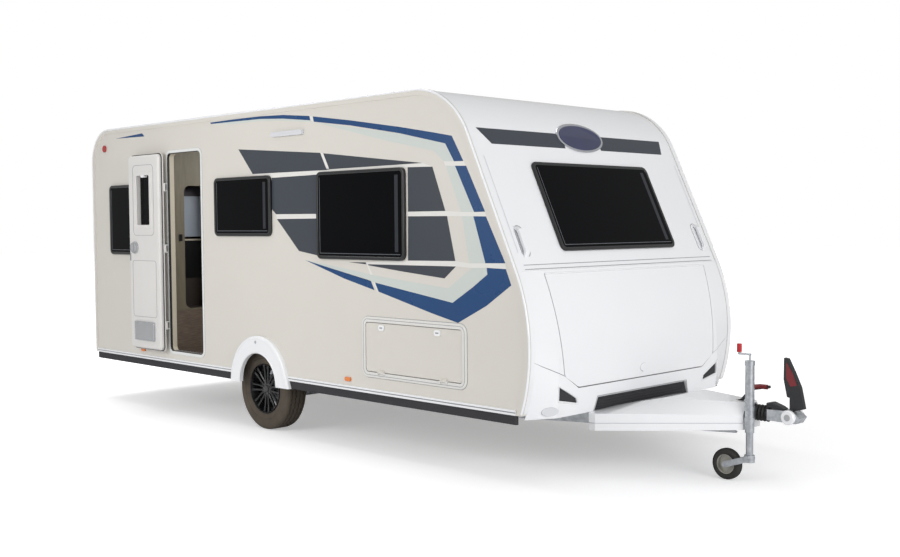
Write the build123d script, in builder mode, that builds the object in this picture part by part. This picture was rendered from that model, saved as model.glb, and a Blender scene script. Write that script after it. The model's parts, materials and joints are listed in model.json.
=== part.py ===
"""Travel caravan on one axle, in millimetres, +X to the hitch, +Y to the left, +Z up.

The origin is on the ground, midway between the wheels and under the middle of the
overall length. The caravan stands on its two wheels and its jockey wheel, with the
entrance door folded back against the right side wall.
"""

import math
import os

from build123d import *

os.makedirs("parts", exist_ok=True)

# Body: main places along X are measured from the axle
axle_x = -740
rear_overhang = 2636
front_overhang = 2874
drawbar_reach = 4010
body_width = 2300
roof_height = 2530
skirt_height = 380
floor_height = 450
floor_thickness = 40
wall = 31

# Side profile: vertical tail, flat roof, brow arc, leaning front and round nose
tail_radius = 300
brow_radius = 550
front_lean = 25.1
nose_radius = 1200
nose_height = 842

# Clearances and small general sizes
overrun = 60
seat_gap = 0.3
move_gap = 6
pin_gap = 0.05
sheet = 4

# Corner rails that cover the edges of the side walls
rail_width = 38
rail_proud = 5
rail_return = 44
rail_edge_radius = 16

# Base rail and skirt below the side walls
base_rail_height = 34
base_rail_proud = 9
base_rail_rise = 60
groove_height = 7
groove_depth = 4
skirt_thickness = 22

# Wheels
wheel_radius = 327
tyre_width = 195
rim_radius = 198
wheel_face_inset = 62
tyre_widest_share = 0.6
tyre_bead_inset = 18
tyre_shoulder = 20
rim_sheet = 8
rim_flange = 7
rim_face_offset = 66
hub_depth = 34
hub_cap_proud = 9
spoke_count = 8
spoke_width = 19
spoke_splay = 10
spoke_root_share = 0.33
spoke_depth = 16
hub_radius = 56
hub_cap_radius = 31

# Wheel arches
arch_shift = 50
arch_rise = 384
arch_outer_radius = 378
arch_inner_radius = 240
arch_cut_radius = 300
spat_proud = 32
spat_drop = 6
spat_flare_angle = 16
spat_foot_slant = 28
spat_edge_radius = 15
wheel_box_shift = 38
wheel_box_length = 800
wheel_box_width = 262
wheel_box_height = 235
wheel_box_sheet = 12

# Side windows: the shares run along the body's length and up from the skirt's lower edge
pane_proud = 20
pane_overlap = 14
pane_corner = 46
pane_edge = 7
# Columns: side (-1 is the door side), rear edge, front edge, sill, head
window_shares = (
    (-1, 0.0628, 0.1735, 0.4628, 0.7581),
    (-1, 0.3808, 0.5220, 0.5428, 0.7628),
    (-1, 0.6260, 0.8000, 0.4665, 0.7628),
    (1, 0.0620, 0.1900, 0.4628, 0.7581),
    (1, 0.3808, 0.5220, 0.5428, 0.7628),
    (1, 0.6260, 0.8000, 0.4665, 0.7628),
)
rear_window_width = 1300
rear_window_sill = 1390
rear_window_head = 2010

# Entrance door on the right side wall: its flange closes over the frame's lip
door_hinge_share = 0.24501
door_width = 524
door_sill = 543
door_head_drop = 268
door_corner = 42
door_jamb = 12
door_frame_depth = 62
door_lip_width = 24
door_lip_proud = 3
door_axis_proud = 34
door_axis_to_face = 12
door_thickness = 46
door_flange = 9
door_overlap = 6
door_mould_edge = 12
door_pane_width = 214
door_pane_height = 436
door_pane_drop = 183
door_pane_corner = 14
door_pane_thickness = 6
door_bin_width = 330
door_bin_height = 168
door_bin_rise = 79
door_bin_depth = 15
door_lock_radius = 55
door_lock_proud = 15
door_lock_rise = 900
door_lock_inset = 106
door_hinge_shares = (0.13, 0.52, 0.83)
door_knuckle_length = 52
door_knuckle_radius = 7
door_pin_radius = 4
door_lug_strip = 10
door_lug_height = 9
door_lug_gap = 0.5

# Service hatch on the right side wall, hinged along its lower edge
hatch_rear_share = 0.7150
hatch_front_share = 0.9035
hatch_sill_share = 0.0814
hatch_head_share = 0.2814
hatch_corner = 60
hatch_frame_width = 38
hatch_frame_proud = 8
hatch_gap = 5
hatch_axis_proud = 14
hatch_pin_radius = 3
hatch_knuckle_radius = 6
hatch_hinge_shares = (0.2, 0.8)
hatch_hinge_length = 50
hatch_lug_drop = 16
hatch_latch_drop = 74
hatch_latch_radius = 19
hatch_latch_length = 58
hatch_latch_proud = 5
hatch_latch_shares = (0.2, 0.74)

# Cassette door on the left side wall, hinged at its rear edge
cassette_share = 0.215
cassette_sill_share = 0.0814
cassette_width = 380
cassette_height = 320
cassette_corner = 26

# Gas locker in the nose
locker_head = 1310
locker_wall_x_inset = 640
locker_board = 15
lid_sill = 587
lid_shoulder = 667
lid_half_head = 905
lid_half_shoulder = 850
lid_half_sill = 712
lid_radius = 1900
lid_proud = 36
lid_nose_height = 650
lid_thickness = 24
lid_gap = 7
lid_corner = 40
lid_ledge = 26
lid_hinge_bead = 5
nose_edge = 3
lid_handle_width = 110
lid_handle_height = 58
lid_handle_rise = 62
lid_handle_proud = 7

# Front window: a slanted pane in the leaning part of the front
front_pane_half_width = 646
front_pane_sill = 1447
front_pane_head = 2037
front_pane_corner = 45
front_pane_proud = 16

# Front bumper below the lid, with a grille and two corner vents
bumper_shoulder = 770
bumper_step = 409
bumper_slope = 40
bumper_seam = 4
grille_half_head = 506
grille_half_sill = 540
grille_head = 499
grille_sill = 412
grille_recess = 14
grille_slat = 8
grille_slats = 5
vent_low = 485
# Columns: distance from the middle, height
vent_points = ((905, 607), (733, 515), (723, vent_low), (905, 519))
lamp_half_width = 58
lamp_half_height = 28
lamp_y = 962
lamp_z = 454
lamp_depth = 12
lamp_proud = 7

# Grab handles beside the front window and at the rear corners
handle_inset = 140
handle_low = 1415
handle_high = 1615
handle_width = 40
handle_stand = 34
handle_grip = 17
rear_handle_low = 1150
rear_handle_high = 1350
rear_handle_inset = 270

# Rear lamps and bumper
bumper_rear_height = 210
bumper_rear_depth = 46
rear_bumper_drop = 60
tail_lamp_width = 92
tail_lamp_low = 720
tail_lamp_high = 1330
tail_lamp_depth = 30
tail_lamp_inset = 24

# Side marker lamps, awning lamp and high markers
marker_shares = (0.161, 0.6853)
marker_height = 519
marker_length = 62
marker_width = 30
marker_proud = 10
high_marker_share = 0.0445
high_marker_drop = 172
high_marker_radius = 32
awning_lamp_rear_share = 0.5265
awning_lamp_front_share = 0.5975
awning_lamp_drop = 204
awning_lamp_width = 36
awning_lamp_proud = 24

# Roof hatches
roof_hatch_shares = (0.3193, 0.8009)
roof_hatch_lengths = (400, 500)
roof_hatch_widths = (400, 700)
roof_hatch_frame_width = 40
roof_hatch_frame_height = 22
roof_hatch_dome_height = 48
roof_hatch_sheet = 4
roof_hatch_corner = 40
roof_hatch_taper = 8
roof_hatch_pin = 3
roof_hatch_knuckle = 6
roof_hatch_knuckle_share = 0.35
roof_hatch_lug = 12

# Chassis: channel rails, drawbar legs that close on the coupling, axle and steadies
rail_y = 610
rail_depth = 100
rail_flange = 45
rail_sheet = 4
rail_rear_inset = 90
drawbar_knee_inset = 650
drawbar_tip_inset = 330
leg_gap = 4
cross_member_shares = (0.03, 0.30, 0.62)
axle_tube_lead = 150
axle_tube_radius = 46
swing_arm_width = 34
swing_arm_height = 62
swing_arm_y = 800
drum_radius = 112
drum_width = 58
stub_radius = 17
drum_reach = 10
stub_length = 44

steady_length = 560
steady_height = 46
steady_width = 62
steady_sheet = 5
steady_foot = 90
steady_foot_thickness = 8
steady_y = 790
steady_pivot_drop = 46
steady_front_inset = 760
steady_rear_inset = 700
steady_pin_radius = 8
steady_ear = 8
steady_ear_half = 24
steady_angle = 42
pin_end_gap = 1

# Moulded cover over the drawbar legs
cover_front_inset = 282
cover_sheet = 5
# Columns: share of the length from the bumper, half width, low edge, crease, top, half of the top
cover_sections = (
    (0, 575, 300, 410, 420, 288),
    (0.036, 632, 301, 411, 427, 283),
    (0.096, 632, 303, 412, 439, 276),
    (0.414, 455, 312, 420, 500, 235),
    (1, 105, 330, 420, 500, 61),
)

# Coupling, levers and jockey wheel
coupling_height = 435
head_length = 118
head_width = 96
head_height = 74
ball_radius = 25
pad_radius = 45
pad_length = 24
bellows_length = 118
bellows_radius = 52
bellows_root = 41
bellows_folds = 5
shaft_radius = 25
body_block_width = 104
body_block_height = 92
housing_overlap = 60
head_overlap = 91
head_nose = 70
head_mouth_share = 0.46
head_lip_share = 0.3
ball_rise = 22
lever_width = 30
lever_reach = 84
lever_rise = 360
# Outline of the stabiliser lever: shares of its reach and rise from the ball
lever_shares = (
    (-0.17, 0.1033), (-0.17, 0.32), (-0.38, 0.33), (-0.66, 0.63), (-0.64, 1.0), (-0.35, 0.99),
    (0.16, 0.76), (0.65, 0.51), (0.98, 0.15), (0.26, 0.1033),
)
brake_lever_width = 16
brake_boss_radius = 13
brake_foot = 30
brake_knee = 110
brake_tip = 236
brake_knee_height = 578
brake_tip_height = 604
jockey_y = -92
jockey_back = 242
jockey_tube_radius = 28.5
jockey_tube_top = 740
jockey_tube_low = 318
jockey_cap_height = 28
jockey_crank_rise = 40
bracket_length = 110
bracket_sheet = 5
bracket_height = 76
clamp_rise = 34
clamp_height = 26
jockey_crank_reach = 75
jockey_crank_radius = 7
jockey_knob_radius = 16
jockey_knob_length = 46
jockey_knob_lift = 10
jockey_inner_radius = 22.5
jockey_inner_low = 178
jockey_inner_top = 640
jockey_wheel_radius = 100
jockey_wheel_width = 52
jockey_trail = 157
jockey_fork_sheet = 5
jockey_fork_width = 38
jockey_swivel_radius = 12
jockey_swivel_length = 40
swivel_gap = 1
jockey_rim_radius = 62
jockey_head_height = 46
jockey_axle_radius = 8

# Furniture that shows through the door and the windows
furniture_gap = 6
kitchen_height = 900
kitchen_depth = 560
bench_height = 430
cushion_height = 120
shelf_locker_depth = 260
shelf_locker_low_drop = 290
shelf_locker_high_drop = 80
galley_inner = 600
galley_rear_inset = 574
galley_front_inset = 34
niche_outer = 975
niche_inner = 620
niche_low = 900
niche_high = 1990
niche_corner = 60
bed_share = 0.19
bench_share = 0.64
shelf_locker_share = 0.845
kitchen_shares = (0.36, 0.527)
wardrobe_shares = (0.529, 0.62)

# Derived places of the body
rear_x = axle_x - rear_overhang
nose_x = axle_x + front_overhang
coupling_x = axle_x + drawbar_reach
body_length = rear_overhang + front_overhang
body_height = roof_height - skirt_height
side_y = body_width / 2
inner_y = side_y - wall
floor_top = floor_height + floor_thickness
base_rail_z = skirt_height + base_rail_rise
wall_low = base_rail_z
arch_x = axle_x + arch_shift
wheel_box_x = axle_x + wheel_box_shift
rail_inner_y = side_y - rail_return

lean = math.radians(front_lean)
nose_centre = (nose_x - nose_radius, nose_height)
brow_centre_z = roof_height - brow_radius
brow_centre_x = nose_centre[0] + (
    nose_radius - brow_radius - (brow_centre_z - nose_height) * math.sin(lean)
) / math.cos(lean)
brow_centre = (brow_centre_x, brow_centre_z)
tail_centre = (rear_x + tail_radius, roof_height - tail_radius)
roof_front_x = brow_centre_x - rail_width


def polar(centre, radius, degrees):
    """Point at an angle on a circle in a flat sketch."""
    angle = math.radians(degrees)
    return (centre[0] + radius * math.cos(angle), centre[1] + radius * math.sin(angle))


def along(share):
    """X of a share of the body's length, from the rear wall."""
    return rear_x + share * body_length


def up(share):
    """Z of a share of the body's height, from the skirt's lower edge."""
    return skirt_height + share * body_height


def front_x(height, outset=0):
    """X of the front's outer face at a height."""
    radius = nose_radius + outset
    tangent_z = nose_height + radius * math.sin(lean)
    if height <= tangent_z:
        return nose_centre[0] + math.sqrt(radius**2 - (height - nose_height) ** 2)
    tangent_x = nose_centre[0] + radius * math.cos(lean)
    return tangent_x - (height - tangent_z) * math.tan(lean)


def lid_x(height, outset=0):
    """X of the fuller arc that the lid and the bumper follow, at a height."""
    radius = lid_radius + outset
    centre_x = nose_x + lid_proud - lid_radius
    return centre_x + math.sqrt(radius**2 - (height - lid_nose_height) ** 2)


def side_plane(y):
    """Sketch plane across Y, with +X to its right; extrusions go to -Y."""
    return Plane.XZ.offset(-y)


def body_face(inset, bottom):
    """Side outline of the body, moved inwards by the inset and cut level at the bottom."""
    tail = tail_radius - inset
    brow = brow_radius - inset
    nose = nose_radius - inset
    drop = math.degrees(math.asin((nose_height - bottom) / nose))
    lean_angle = front_lean
    mid_share = 0.5
    tail_mid_angle = 135
    quarter = 90
    with BuildSketch() as face:
        with BuildLine():
            tail_low = (rear_x + inset, roof_height - tail_radius)
            tail_top = (rear_x + tail_radius, roof_height - inset)
            brow_top = (brow_centre[0], roof_height - inset)
            brow_low = polar(brow_centre, brow, lean_angle)
            nose_top = polar(nose_centre, nose, lean_angle)
            nose_low = polar(nose_centre, nose, -drop)
            Line((rear_x + inset, bottom), tail_low)
            ThreePointArc(tail_low, polar(tail_centre, tail, tail_mid_angle), tail_top)
            Line(tail_top, brow_top)
            brow_mid = polar(brow_centre, brow, (quarter + lean_angle) * mid_share)
            ThreePointArc(brow_top, brow_mid, brow_low)
            Line(brow_low, nose_top)
            nose_mid = polar(nose_centre, nose, (lean_angle - drop) * mid_share)
            ThreePointArc(nose_top, nose_mid, nose_low)
            Line(nose_low, (rear_x + inset, bottom))
        make_face()
    return face.sketch


def lid_inner_x(height):
    """X of the lid's inner face at a height."""
    return lid_x(height, -lid_thickness)


def arc_band(outer, inner, low, high):
    """Band between two X profiles, from one height to another, for the nose mouldings."""
    middle = (low + high) / 2
    with BuildSketch() as band:
        with BuildLine():
            ThreePointArc((outer(low), low), (outer(middle), middle), (outer(high), high))
            Line((outer(high), high), (inner(high), high))
            ThreePointArc((inner(high), high), (inner(middle), middle), (inner(low), low))
            Line((inner(low), low), (outer(low), low))
        make_face()
    return band.sketch


def pane_box(row):
    """Rear, front, sill and head of a window in the table, in millimetres."""
    return along(row[1]), along(row[2]), up(row[3]), up(row[4])


def save(builder, name):
    """Label a finished sub-part and write it."""
    builder.part.label = name
    export_step(builder.part, f"parts/{name}.step")


# Side walls: sandwich panels between the corner rails, cut for windows, doors and wheels
door_x = along(door_hinge_share)
door_y = -side_y - door_axis_proud
door_height = roof_height - door_head_drop - door_sill
door_mid_z = door_sill + door_height / 2
opening_mid = (door_x + door_width / 2, door_mid_z)
opening_size = (door_width, door_height)
hatch_rear = along(hatch_rear_share)
hatch_front = along(hatch_front_share)
hatch_sill = up(hatch_sill_share)
hatch_head = up(hatch_head_share)
hatch_mid = ((hatch_rear + hatch_front) / 2, (hatch_sill + hatch_head) / 2)
hatch_size = (hatch_front - hatch_rear, hatch_head - hatch_sill)
hatch_hole = (hatch_size[0] - 2 * hatch_frame_width, hatch_size[1] - 2 * hatch_frame_width)
hatch_hole_corner = hatch_corner - hatch_frame_width + hatch_gap
cassette_mid = (along(cassette_share), up(cassette_sill_share) + cassette_height / 2)
cassette_hole = (cassette_width + 2 * move_gap, cassette_height + 2 * move_gap)


def rounded_slab(size, middle, y_low, y_high, corner, grow=0):
    """Rounded rectangle in XZ, grown all round, as a slab from y_low to y_high."""
    with BuildPart() as slab:
        with BuildSketch(side_plane(y_high)):
            with Locations(middle):
                RectangleRounded(size[0] + 2 * grow, size[1] + 2 * grow, corner + grow)
        extrude(amount=y_high - y_low)
    return slab.part


for side, name in ((-1, "side_wall_right"), (1, "side_wall_left")):
    outer_y = side_y if side > 0 else -inner_y
    with BuildPart() as side_wall:
        with BuildSketch(side_plane(outer_y)):
            add(body_face(rail_width, wall_low))
            for row in window_shares:
                if row[0] == side:
                    low_x, high_x, low_z, high_z = pane_box(row)
                    with Locations(((low_x + high_x) / 2, (low_z + high_z) / 2)):
                        RectangleRounded(
                            high_x - low_x - 2 * pane_overlap,
                            high_z - low_z - 2 * pane_overlap,
                            pane_corner - pane_overlap,
                            mode=Mode.SUBTRACT,
                        )
            with Locations((arch_x, arch_rise)):
                Circle(arch_cut_radius, mode=Mode.SUBTRACT)
            if side < 0:
                with Locations(opening_mid):
                    RectangleRounded(
                        door_width + 2 * door_jamb,
                        door_height + 2 * door_jamb,
                        door_corner + door_jamb,
                        mode=Mode.SUBTRACT,
                    )
                with Locations(hatch_mid):
                    RectangleRounded(*hatch_hole, hatch_hole_corner, mode=Mode.SUBTRACT)
            else:
                with Locations(cassette_mid):
                    RectangleRounded(
                        *cassette_hole, cassette_corner + move_gap, mode=Mode.SUBTRACT
                    )
        extrude(amount=wall)
    save(side_wall, name)

# Corner rails: rounded mouldings that cap the edges of the side walls
with BuildPart() as corner_rails:
    for side in (-1, 1):
        with BuildPart(mode=Mode.PRIVATE) as rail:
            high_y = side_y + rail_proud if side > 0 else -rail_inner_y
            with BuildSketch(side_plane(high_y)):
                add(body_face(-rail_proud, wall_low))
            extrude(amount=rail_return + rail_proud)
            outer_face = rail.faces().sort_by(Axis.Y)[-1 if side > 0 else 0]
            rim_edges = outer_face.edges().filter_by(lambda e: e.center().Z > wall_low + rail_proud)
            fillet(rim_edges, rail_edge_radius)
            with BuildSketch(side_plane(high_y)):
                add(body_face(rail_width, wall_low - overrun))
            extrude(amount=rail_return + rail_proud, mode=Mode.SUBTRACT)
        add(rail.part)
save(corner_rails, "corner_rails")

# Roof, front and rear panels: one band between the corner rails, split where they meet
slant_mid_z = (front_pane_sill + front_pane_head) / 2
front_plane = Plane(
    origin=(front_x(slant_mid_z), 0, slant_mid_z),
    x_dir=(0, 1, 0),
    z_dir=(math.cos(lean), 0, math.sin(lean)),
)
front_pane_size = (
    2 * front_pane_half_width,
    (front_pane_head - front_pane_sill) / math.cos(lean),
)


def shell_band(low_x, high_x):
    """Part of the roof, front or rear band between two places along X."""
    with BuildPart() as band:
        with BuildSketch(side_plane(rail_inner_y)):
            add(body_face(0, floor_height))
            add(body_face(wall, floor_height - overrun), mode=Mode.SUBTRACT)
        extrude(amount=2 * rail_inner_y)
        if low_x is not None:
            split(bisect_by=Plane.YZ.offset(low_x), keep=Keep.TOP)
        if high_x is not None:
            split(bisect_by=Plane.YZ.offset(high_x), keep=Keep.BOTTOM)
    return band.part


def lid_outline(grow):
    """Front view of the locker lid, from the hinge line to the slanted lower corners."""
    with BuildSketch() as outline:
        with BuildLine():
            Polyline(
                (-lid_half_head, locker_head),
                (-lid_half_shoulder, lid_shoulder),
                (-lid_half_sill, lid_sill),
                (lid_half_sill, lid_sill),
                (lid_half_shoulder, lid_shoulder),
                (lid_half_head, locker_head),
                close=True,
            )
        make_face()
        fillet(outline.vertices().sort_by(Axis.Y)[:4], lid_corner)
        if grow:
            offset(amount=grow, kind=Kind.ARC)
    return outline.sketch


locker_mid_x = nose_x - lid_radius / 2
roof_rear_x = tail_centre[0] + rail_width
roof_hatch_places = []
for number, share in enumerate(roof_hatch_shares):
    roof_hatch_places.append(
        (
            roof_rear_x + share * (roof_front_x - roof_rear_x),
            roof_hatch_lengths[number],
            roof_hatch_widths[number],
        )
    )

with BuildPart() as roof_panel:
    add(shell_band(roof_rear_x, roof_front_x))
    with BuildSketch(Plane.XY.offset(roof_height + overrun)):
        for place_x, length, width in roof_hatch_places:
            with Locations((place_x, 0)):
                RectangleRounded(length, width, roof_hatch_corner)
    extrude(amount=-wall - 2 * overrun, mode=Mode.SUBTRACT)
save(roof_panel, "roof_panel")

with BuildPart() as front_panel:
    add(shell_band(roof_front_x, None))
    with BuildSketch(Plane.YZ.offset(locker_mid_x)):
        add(lid_outline(lid_gap))
    extrude(amount=lid_radius, mode=Mode.SUBTRACT)
    with BuildSketch(front_plane):
        RectangleRounded(
            front_pane_size[0] - 2 * pane_overlap,
            front_pane_size[1] - 2 * pane_overlap,
            front_pane_corner - pane_overlap,
        )
    extrude(amount=wall + overrun, both=True, mode=Mode.SUBTRACT)
save(front_panel, "front_panel")

rear_pane_mid = (0, (rear_window_sill + rear_window_head) / 2)
rear_pane_size = (rear_window_width, rear_window_head - rear_window_sill)
with BuildPart() as rear_panel:
    add(shell_band(None, roof_rear_x))
    with BuildSketch(Plane.YZ.offset(rear_x - overrun)):
        with Locations(rear_pane_mid):
            RectangleRounded(
                rear_pane_size[0] - 2 * pane_overlap,
                rear_pane_size[1] - 2 * pane_overlap,
                pane_corner - pane_overlap,
            )
    extrude(amount=wall + 2 * overrun, mode=Mode.SUBTRACT)
save(rear_panel, "rear_panel")

# Floor with the two boxes that the wheels turn in
floor_front_x = front_x(floor_height, -rail_width) - seat_gap
floor_rear_x = rear_x + rail_width + seat_gap
with BuildPart() as floor_panel:
    with BuildSketch(Plane.XY.offset(floor_height)):
        with Locations(((floor_rear_x + floor_front_x) / 2, 0)):
            Rectangle(floor_front_x - floor_rear_x, 2 * inner_y)
        for side in (-1, 1):
            with Locations((wheel_box_x, side * (inner_y - wheel_box_width / 2))):
                Rectangle(wheel_box_length, wheel_box_width, mode=Mode.SUBTRACT)
    extrude(amount=floor_thickness)
    for side in (-1, 1):
        with BuildSketch(Plane.XY.offset(floor_height)):
            with Locations((wheel_box_x, side * (inner_y - wheel_box_width / 2))):
                Rectangle(wheel_box_length, wheel_box_width)
        extrude(amount=wheel_box_height)
        with BuildSketch(Plane.XY.offset(floor_height)):
            with Locations((wheel_box_x, side * (inner_y - wheel_box_width / 2 + wheel_box_sheet))):
                Rectangle(
                    wheel_box_length - 2 * wheel_box_sheet,
                    wheel_box_width,
                )
        extrude(amount=wheel_box_height - wheel_box_sheet, mode=Mode.SUBTRACT)
save(floor_panel, "floor_panel")

# Base rails and skirts: a grooved white rail over a dark skirt, open at the wheels
rail_rear_x = rear_x + rail_width
rail_front_x = front_x(base_rail_z, -rail_width) - seat_gap


def arch_outline():
    """Outline of a wheel arch moulding: half a circle, with a front foot that flares out."""
    centre = (arch_x, arch_rise)
    foot_z = arch_rise - spat_drop
    with BuildSketch() as outline:
        with Locations(centre):
            Circle(arch_outer_radius)
            Rectangle(
                2 * body_length, roof_height, align=(Align.CENTER, Align.MAX), mode=Mode.SUBTRACT
            )
        with BuildLine():
            Polyline(
                (arch_x - arch_outer_radius, arch_rise),
                polar(centre, arch_outer_radius, spat_flare_angle),
                (arch_x + arch_outer_radius + spat_foot_slant, foot_z),
                (arch_x - arch_outer_radius, foot_z),
                close=True,
            )
        make_face()
    return outline.sketch


with BuildPart() as base_rails:
    for side in (-1, 1):
        high_y = side_y + base_rail_proud if side > 0 else -side_y
        with BuildSketch(side_plane(high_y)):
            with Locations(((rail_rear_x + rail_front_x) / 2, base_rail_z + base_rail_height / 2)):
                Rectangle(rail_front_x - rail_rear_x, base_rail_height)
            add(arch_outline(), mode=Mode.SUBTRACT)
        extrude(amount=base_rail_proud)
        groove_y = side_y + base_rail_proud if side > 0 else -side_y - base_rail_proud + groove_depth
        with BuildSketch(side_plane(groove_y)):
            with Locations(((rail_rear_x + rail_front_x) / 2, base_rail_z + base_rail_height / 2)):
                Rectangle(body_length, groove_height)
        extrude(amount=groove_depth, mode=Mode.SUBTRACT)
save(base_rails, "base_rails")

with BuildPart() as skirts:
    for side in (-1, 1):
        high_y = side_y if side > 0 else -side_y + skirt_thickness
        with BuildSketch(side_plane(high_y)):
            with Locations(((rail_rear_x + rail_front_x) / 2, (base_rail_z + skirt_height) / 2)):
                Rectangle(rail_front_x - rail_rear_x, base_rail_z - skirt_height)
            with Locations((arch_x, arch_rise)):
                Circle(arch_outer_radius, mode=Mode.SUBTRACT)
        extrude(amount=skirt_thickness)
save(skirts, "skirts")

# Nose moulding and bumper: the fuller lower front that the lid sits in
nose_low = bumper_step
nose_high = locker_head + lid_ledge
nose_full_y = lid_half_head + lid_gap
bumper_half_width = rail_inner_y - seat_gap
lid_axis_x = lid_x(locker_head + lid_gap)
lid_axis_z = locker_head + lid_hinge_bead
lid_axis = Plane(origin=(lid_axis_x, 0, lid_axis_z), z_dir=(0, 1, 0))


def full_x(height):
    """X of the moulding's outer face where it is full."""
    return lid_x(height)


def lean_x(height):
    """X of the moulding's outer face beside the corner rails."""
    return front_x(height, nose_edge)


def panel_x(height):
    """X of the moulding's back, on the front panel."""
    return front_x(height, seat_gap)


with BuildPart() as nose_block:
    for side in (-1, 1):
        with BuildSketch(side_plane(0)):
            add(arc_band(full_x, panel_x, nose_low, nose_high))
        with BuildSketch(side_plane(side * nose_full_y)):
            add(arc_band(full_x, panel_x, nose_low, nose_high))
        loft(ruled=True)
        with BuildSketch(side_plane(side * nose_full_y)):
            add(arc_band(full_x, panel_x, nose_low, nose_high))
        with BuildSketch(side_plane(side * bumper_half_width)):
            add(arc_band(lean_x, panel_x, nose_low, nose_high))
        loft(ruled=True)

bumper_line = (
    (-body_width, 0),
    (-body_width, bumper_shoulder + bumper_slope),
    (-bumper_half_width, bumper_shoulder),
    (-lid_half_shoulder, lid_shoulder),
    (-lid_half_sill, lid_sill - lid_gap),
    (lid_half_sill, lid_sill - lid_gap),
    (lid_half_shoulder, lid_shoulder),
    (bumper_half_width, bumper_shoulder),
    (body_width, bumper_shoulder + bumper_slope),
    (body_width, 0),
)


def bumper_front(grow):
    """Front view of everything below the bumper's upper seam."""
    with BuildSketch() as outline:
        with BuildLine():
            Polyline(*[(y, z + grow if z else z) for y, z in bumper_line], close=True)
        make_face()
    return outline.sketch


with BuildPart() as nose_moulding:
    add(nose_block.part)
    with BuildSketch(Plane.YZ.offset(locker_mid_x)):
        add(bumper_front(bumper_seam))
        add(lid_outline(lid_gap))
    extrude(amount=lid_radius, mode=Mode.SUBTRACT)
    with Locations(lid_axis):
        Cylinder(lid_hinge_bead, 2 * lid_half_head)
save(nose_moulding, "nose_moulding")


def vent_outline():
    """Front view of one corner vent, on the left half."""
    with BuildSketch() as outline:
        with BuildLine():
            Polyline(*vent_points, close=True)
        make_face()
    return outline.sketch


def grille_outline(grow=0):
    """Front view of the bumper's central grille."""
    with BuildSketch() as outline:
        with BuildLine():
            Polyline(
                (-grille_half_head - grow, grille_head + grow),
                (-grille_half_sill - grow, grille_sill - grow),
                (grille_half_sill + grow, grille_sill - grow),
                (grille_half_head + grow, grille_head + grow),
                close=True,
            )
        make_face()
    return outline.sketch


grille_back_x = lid_x(grille_sill) - grille_recess
lamp_side_share = (bumper_half_width - lamp_y) / (bumper_half_width - nose_full_y)
lamp_x = lean_x(lamp_z) + lamp_side_share * (full_x(lamp_z) - lean_x(lamp_z))
lamp_turn = math.atan2(full_x(lamp_z) - lean_x(lamp_z), bumper_half_width - nose_full_y)
vent_back_x = lid_x(vent_low) - grille_recess


def lamp_plane(side):
    """Plane square to the bumper's slanted end, at a front lamp."""
    return Plane(
        origin=(lamp_x, side * lamp_y, lamp_z),
        x_dir=(-side * math.sin(lamp_turn), math.cos(lamp_turn), 0),
        z_dir=(math.cos(lamp_turn), side * math.sin(lamp_turn), 0),
    )


with BuildPart() as front_bumper:
    add(nose_block.part)
    with BuildSketch(Plane.YZ.offset(locker_mid_x)):
        Rectangle(body_width, 2 * roof_height)
        add(bumper_front(0), mode=Mode.SUBTRACT)
    extrude(amount=lid_radius, mode=Mode.SUBTRACT)
    with BuildSketch(Plane.YZ.offset(grille_back_x)):
        add(grille_outline())
    extrude(amount=overrun, mode=Mode.SUBTRACT)
    with BuildSketch(Plane.YZ.offset(vent_back_x)):
        add(vent_outline())
        mirror(about=Plane.YZ)
    extrude(amount=overrun, mode=Mode.SUBTRACT)
    for side in (-1, 1):
        with BuildSketch(lamp_plane(side).offset(-lamp_depth)):
            Ellipse(lamp_half_width + seat_gap, lamp_half_height + seat_gap)
        extrude(amount=lamp_depth + overrun, mode=Mode.SUBTRACT)
save(front_bumper, "front_bumper")

# Black grille and vents, with their slats
slat_pitch = (grille_head - grille_sill) / grille_slats
with BuildPart() as front_grille:
    with BuildSketch(Plane.YZ.offset(grille_back_x)):
        add(grille_outline(-seat_gap))
    extrude(amount=grille_slat)
    for number in range(grille_slats):
        slat_z = grille_sill + (number + 0.5) * slat_pitch
        with BuildSketch(Plane.YZ.offset(grille_back_x)):
            with Locations((0, slat_z)):
                Rectangle(2 * grille_half_head - grille_slat, slat_pitch / 2)
        extrude(amount=grille_recess)
    with BuildSketch(Plane.YZ.offset(vent_back_x)):
        add(vent_outline())
        mirror(about=Plane.YZ)
        offset(amount=-seat_gap)
    extrude(amount=grille_slat)
save(front_grille, "front_grille")

# Locker lid: a curved panel under the ledge, swinging up about the bead on that ledge
lid_handle_z = lid_sill + lid_handle_rise
with BuildPart() as locker_lid:
    with BuildSketch(side_plane(lid_half_head)):
        add(arc_band(full_x, lid_inner_x, lid_sill, locker_head))
    extrude(amount=2 * lid_half_head)
    with BuildSketch(Plane.YZ.offset(locker_mid_x)):
        add(lid_outline(0))
    extrude(amount=lid_radius, mode=Mode.INTERSECT)
    with Locations(lid_axis):
        Cylinder(lid_hinge_bead + seat_gap, 2 * lid_half_head, mode=Mode.SUBTRACT)
    with BuildSketch(Plane.YZ.offset(lid_x(lid_handle_z) - lid_thickness / 2)):
        with Locations((0, lid_handle_z)):
            Ellipse(lid_handle_width / 2, lid_handle_height / 2)
    extrude(amount=lid_thickness / 2 + lid_handle_proud)
save(locker_lid, "locker_lid")

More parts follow.
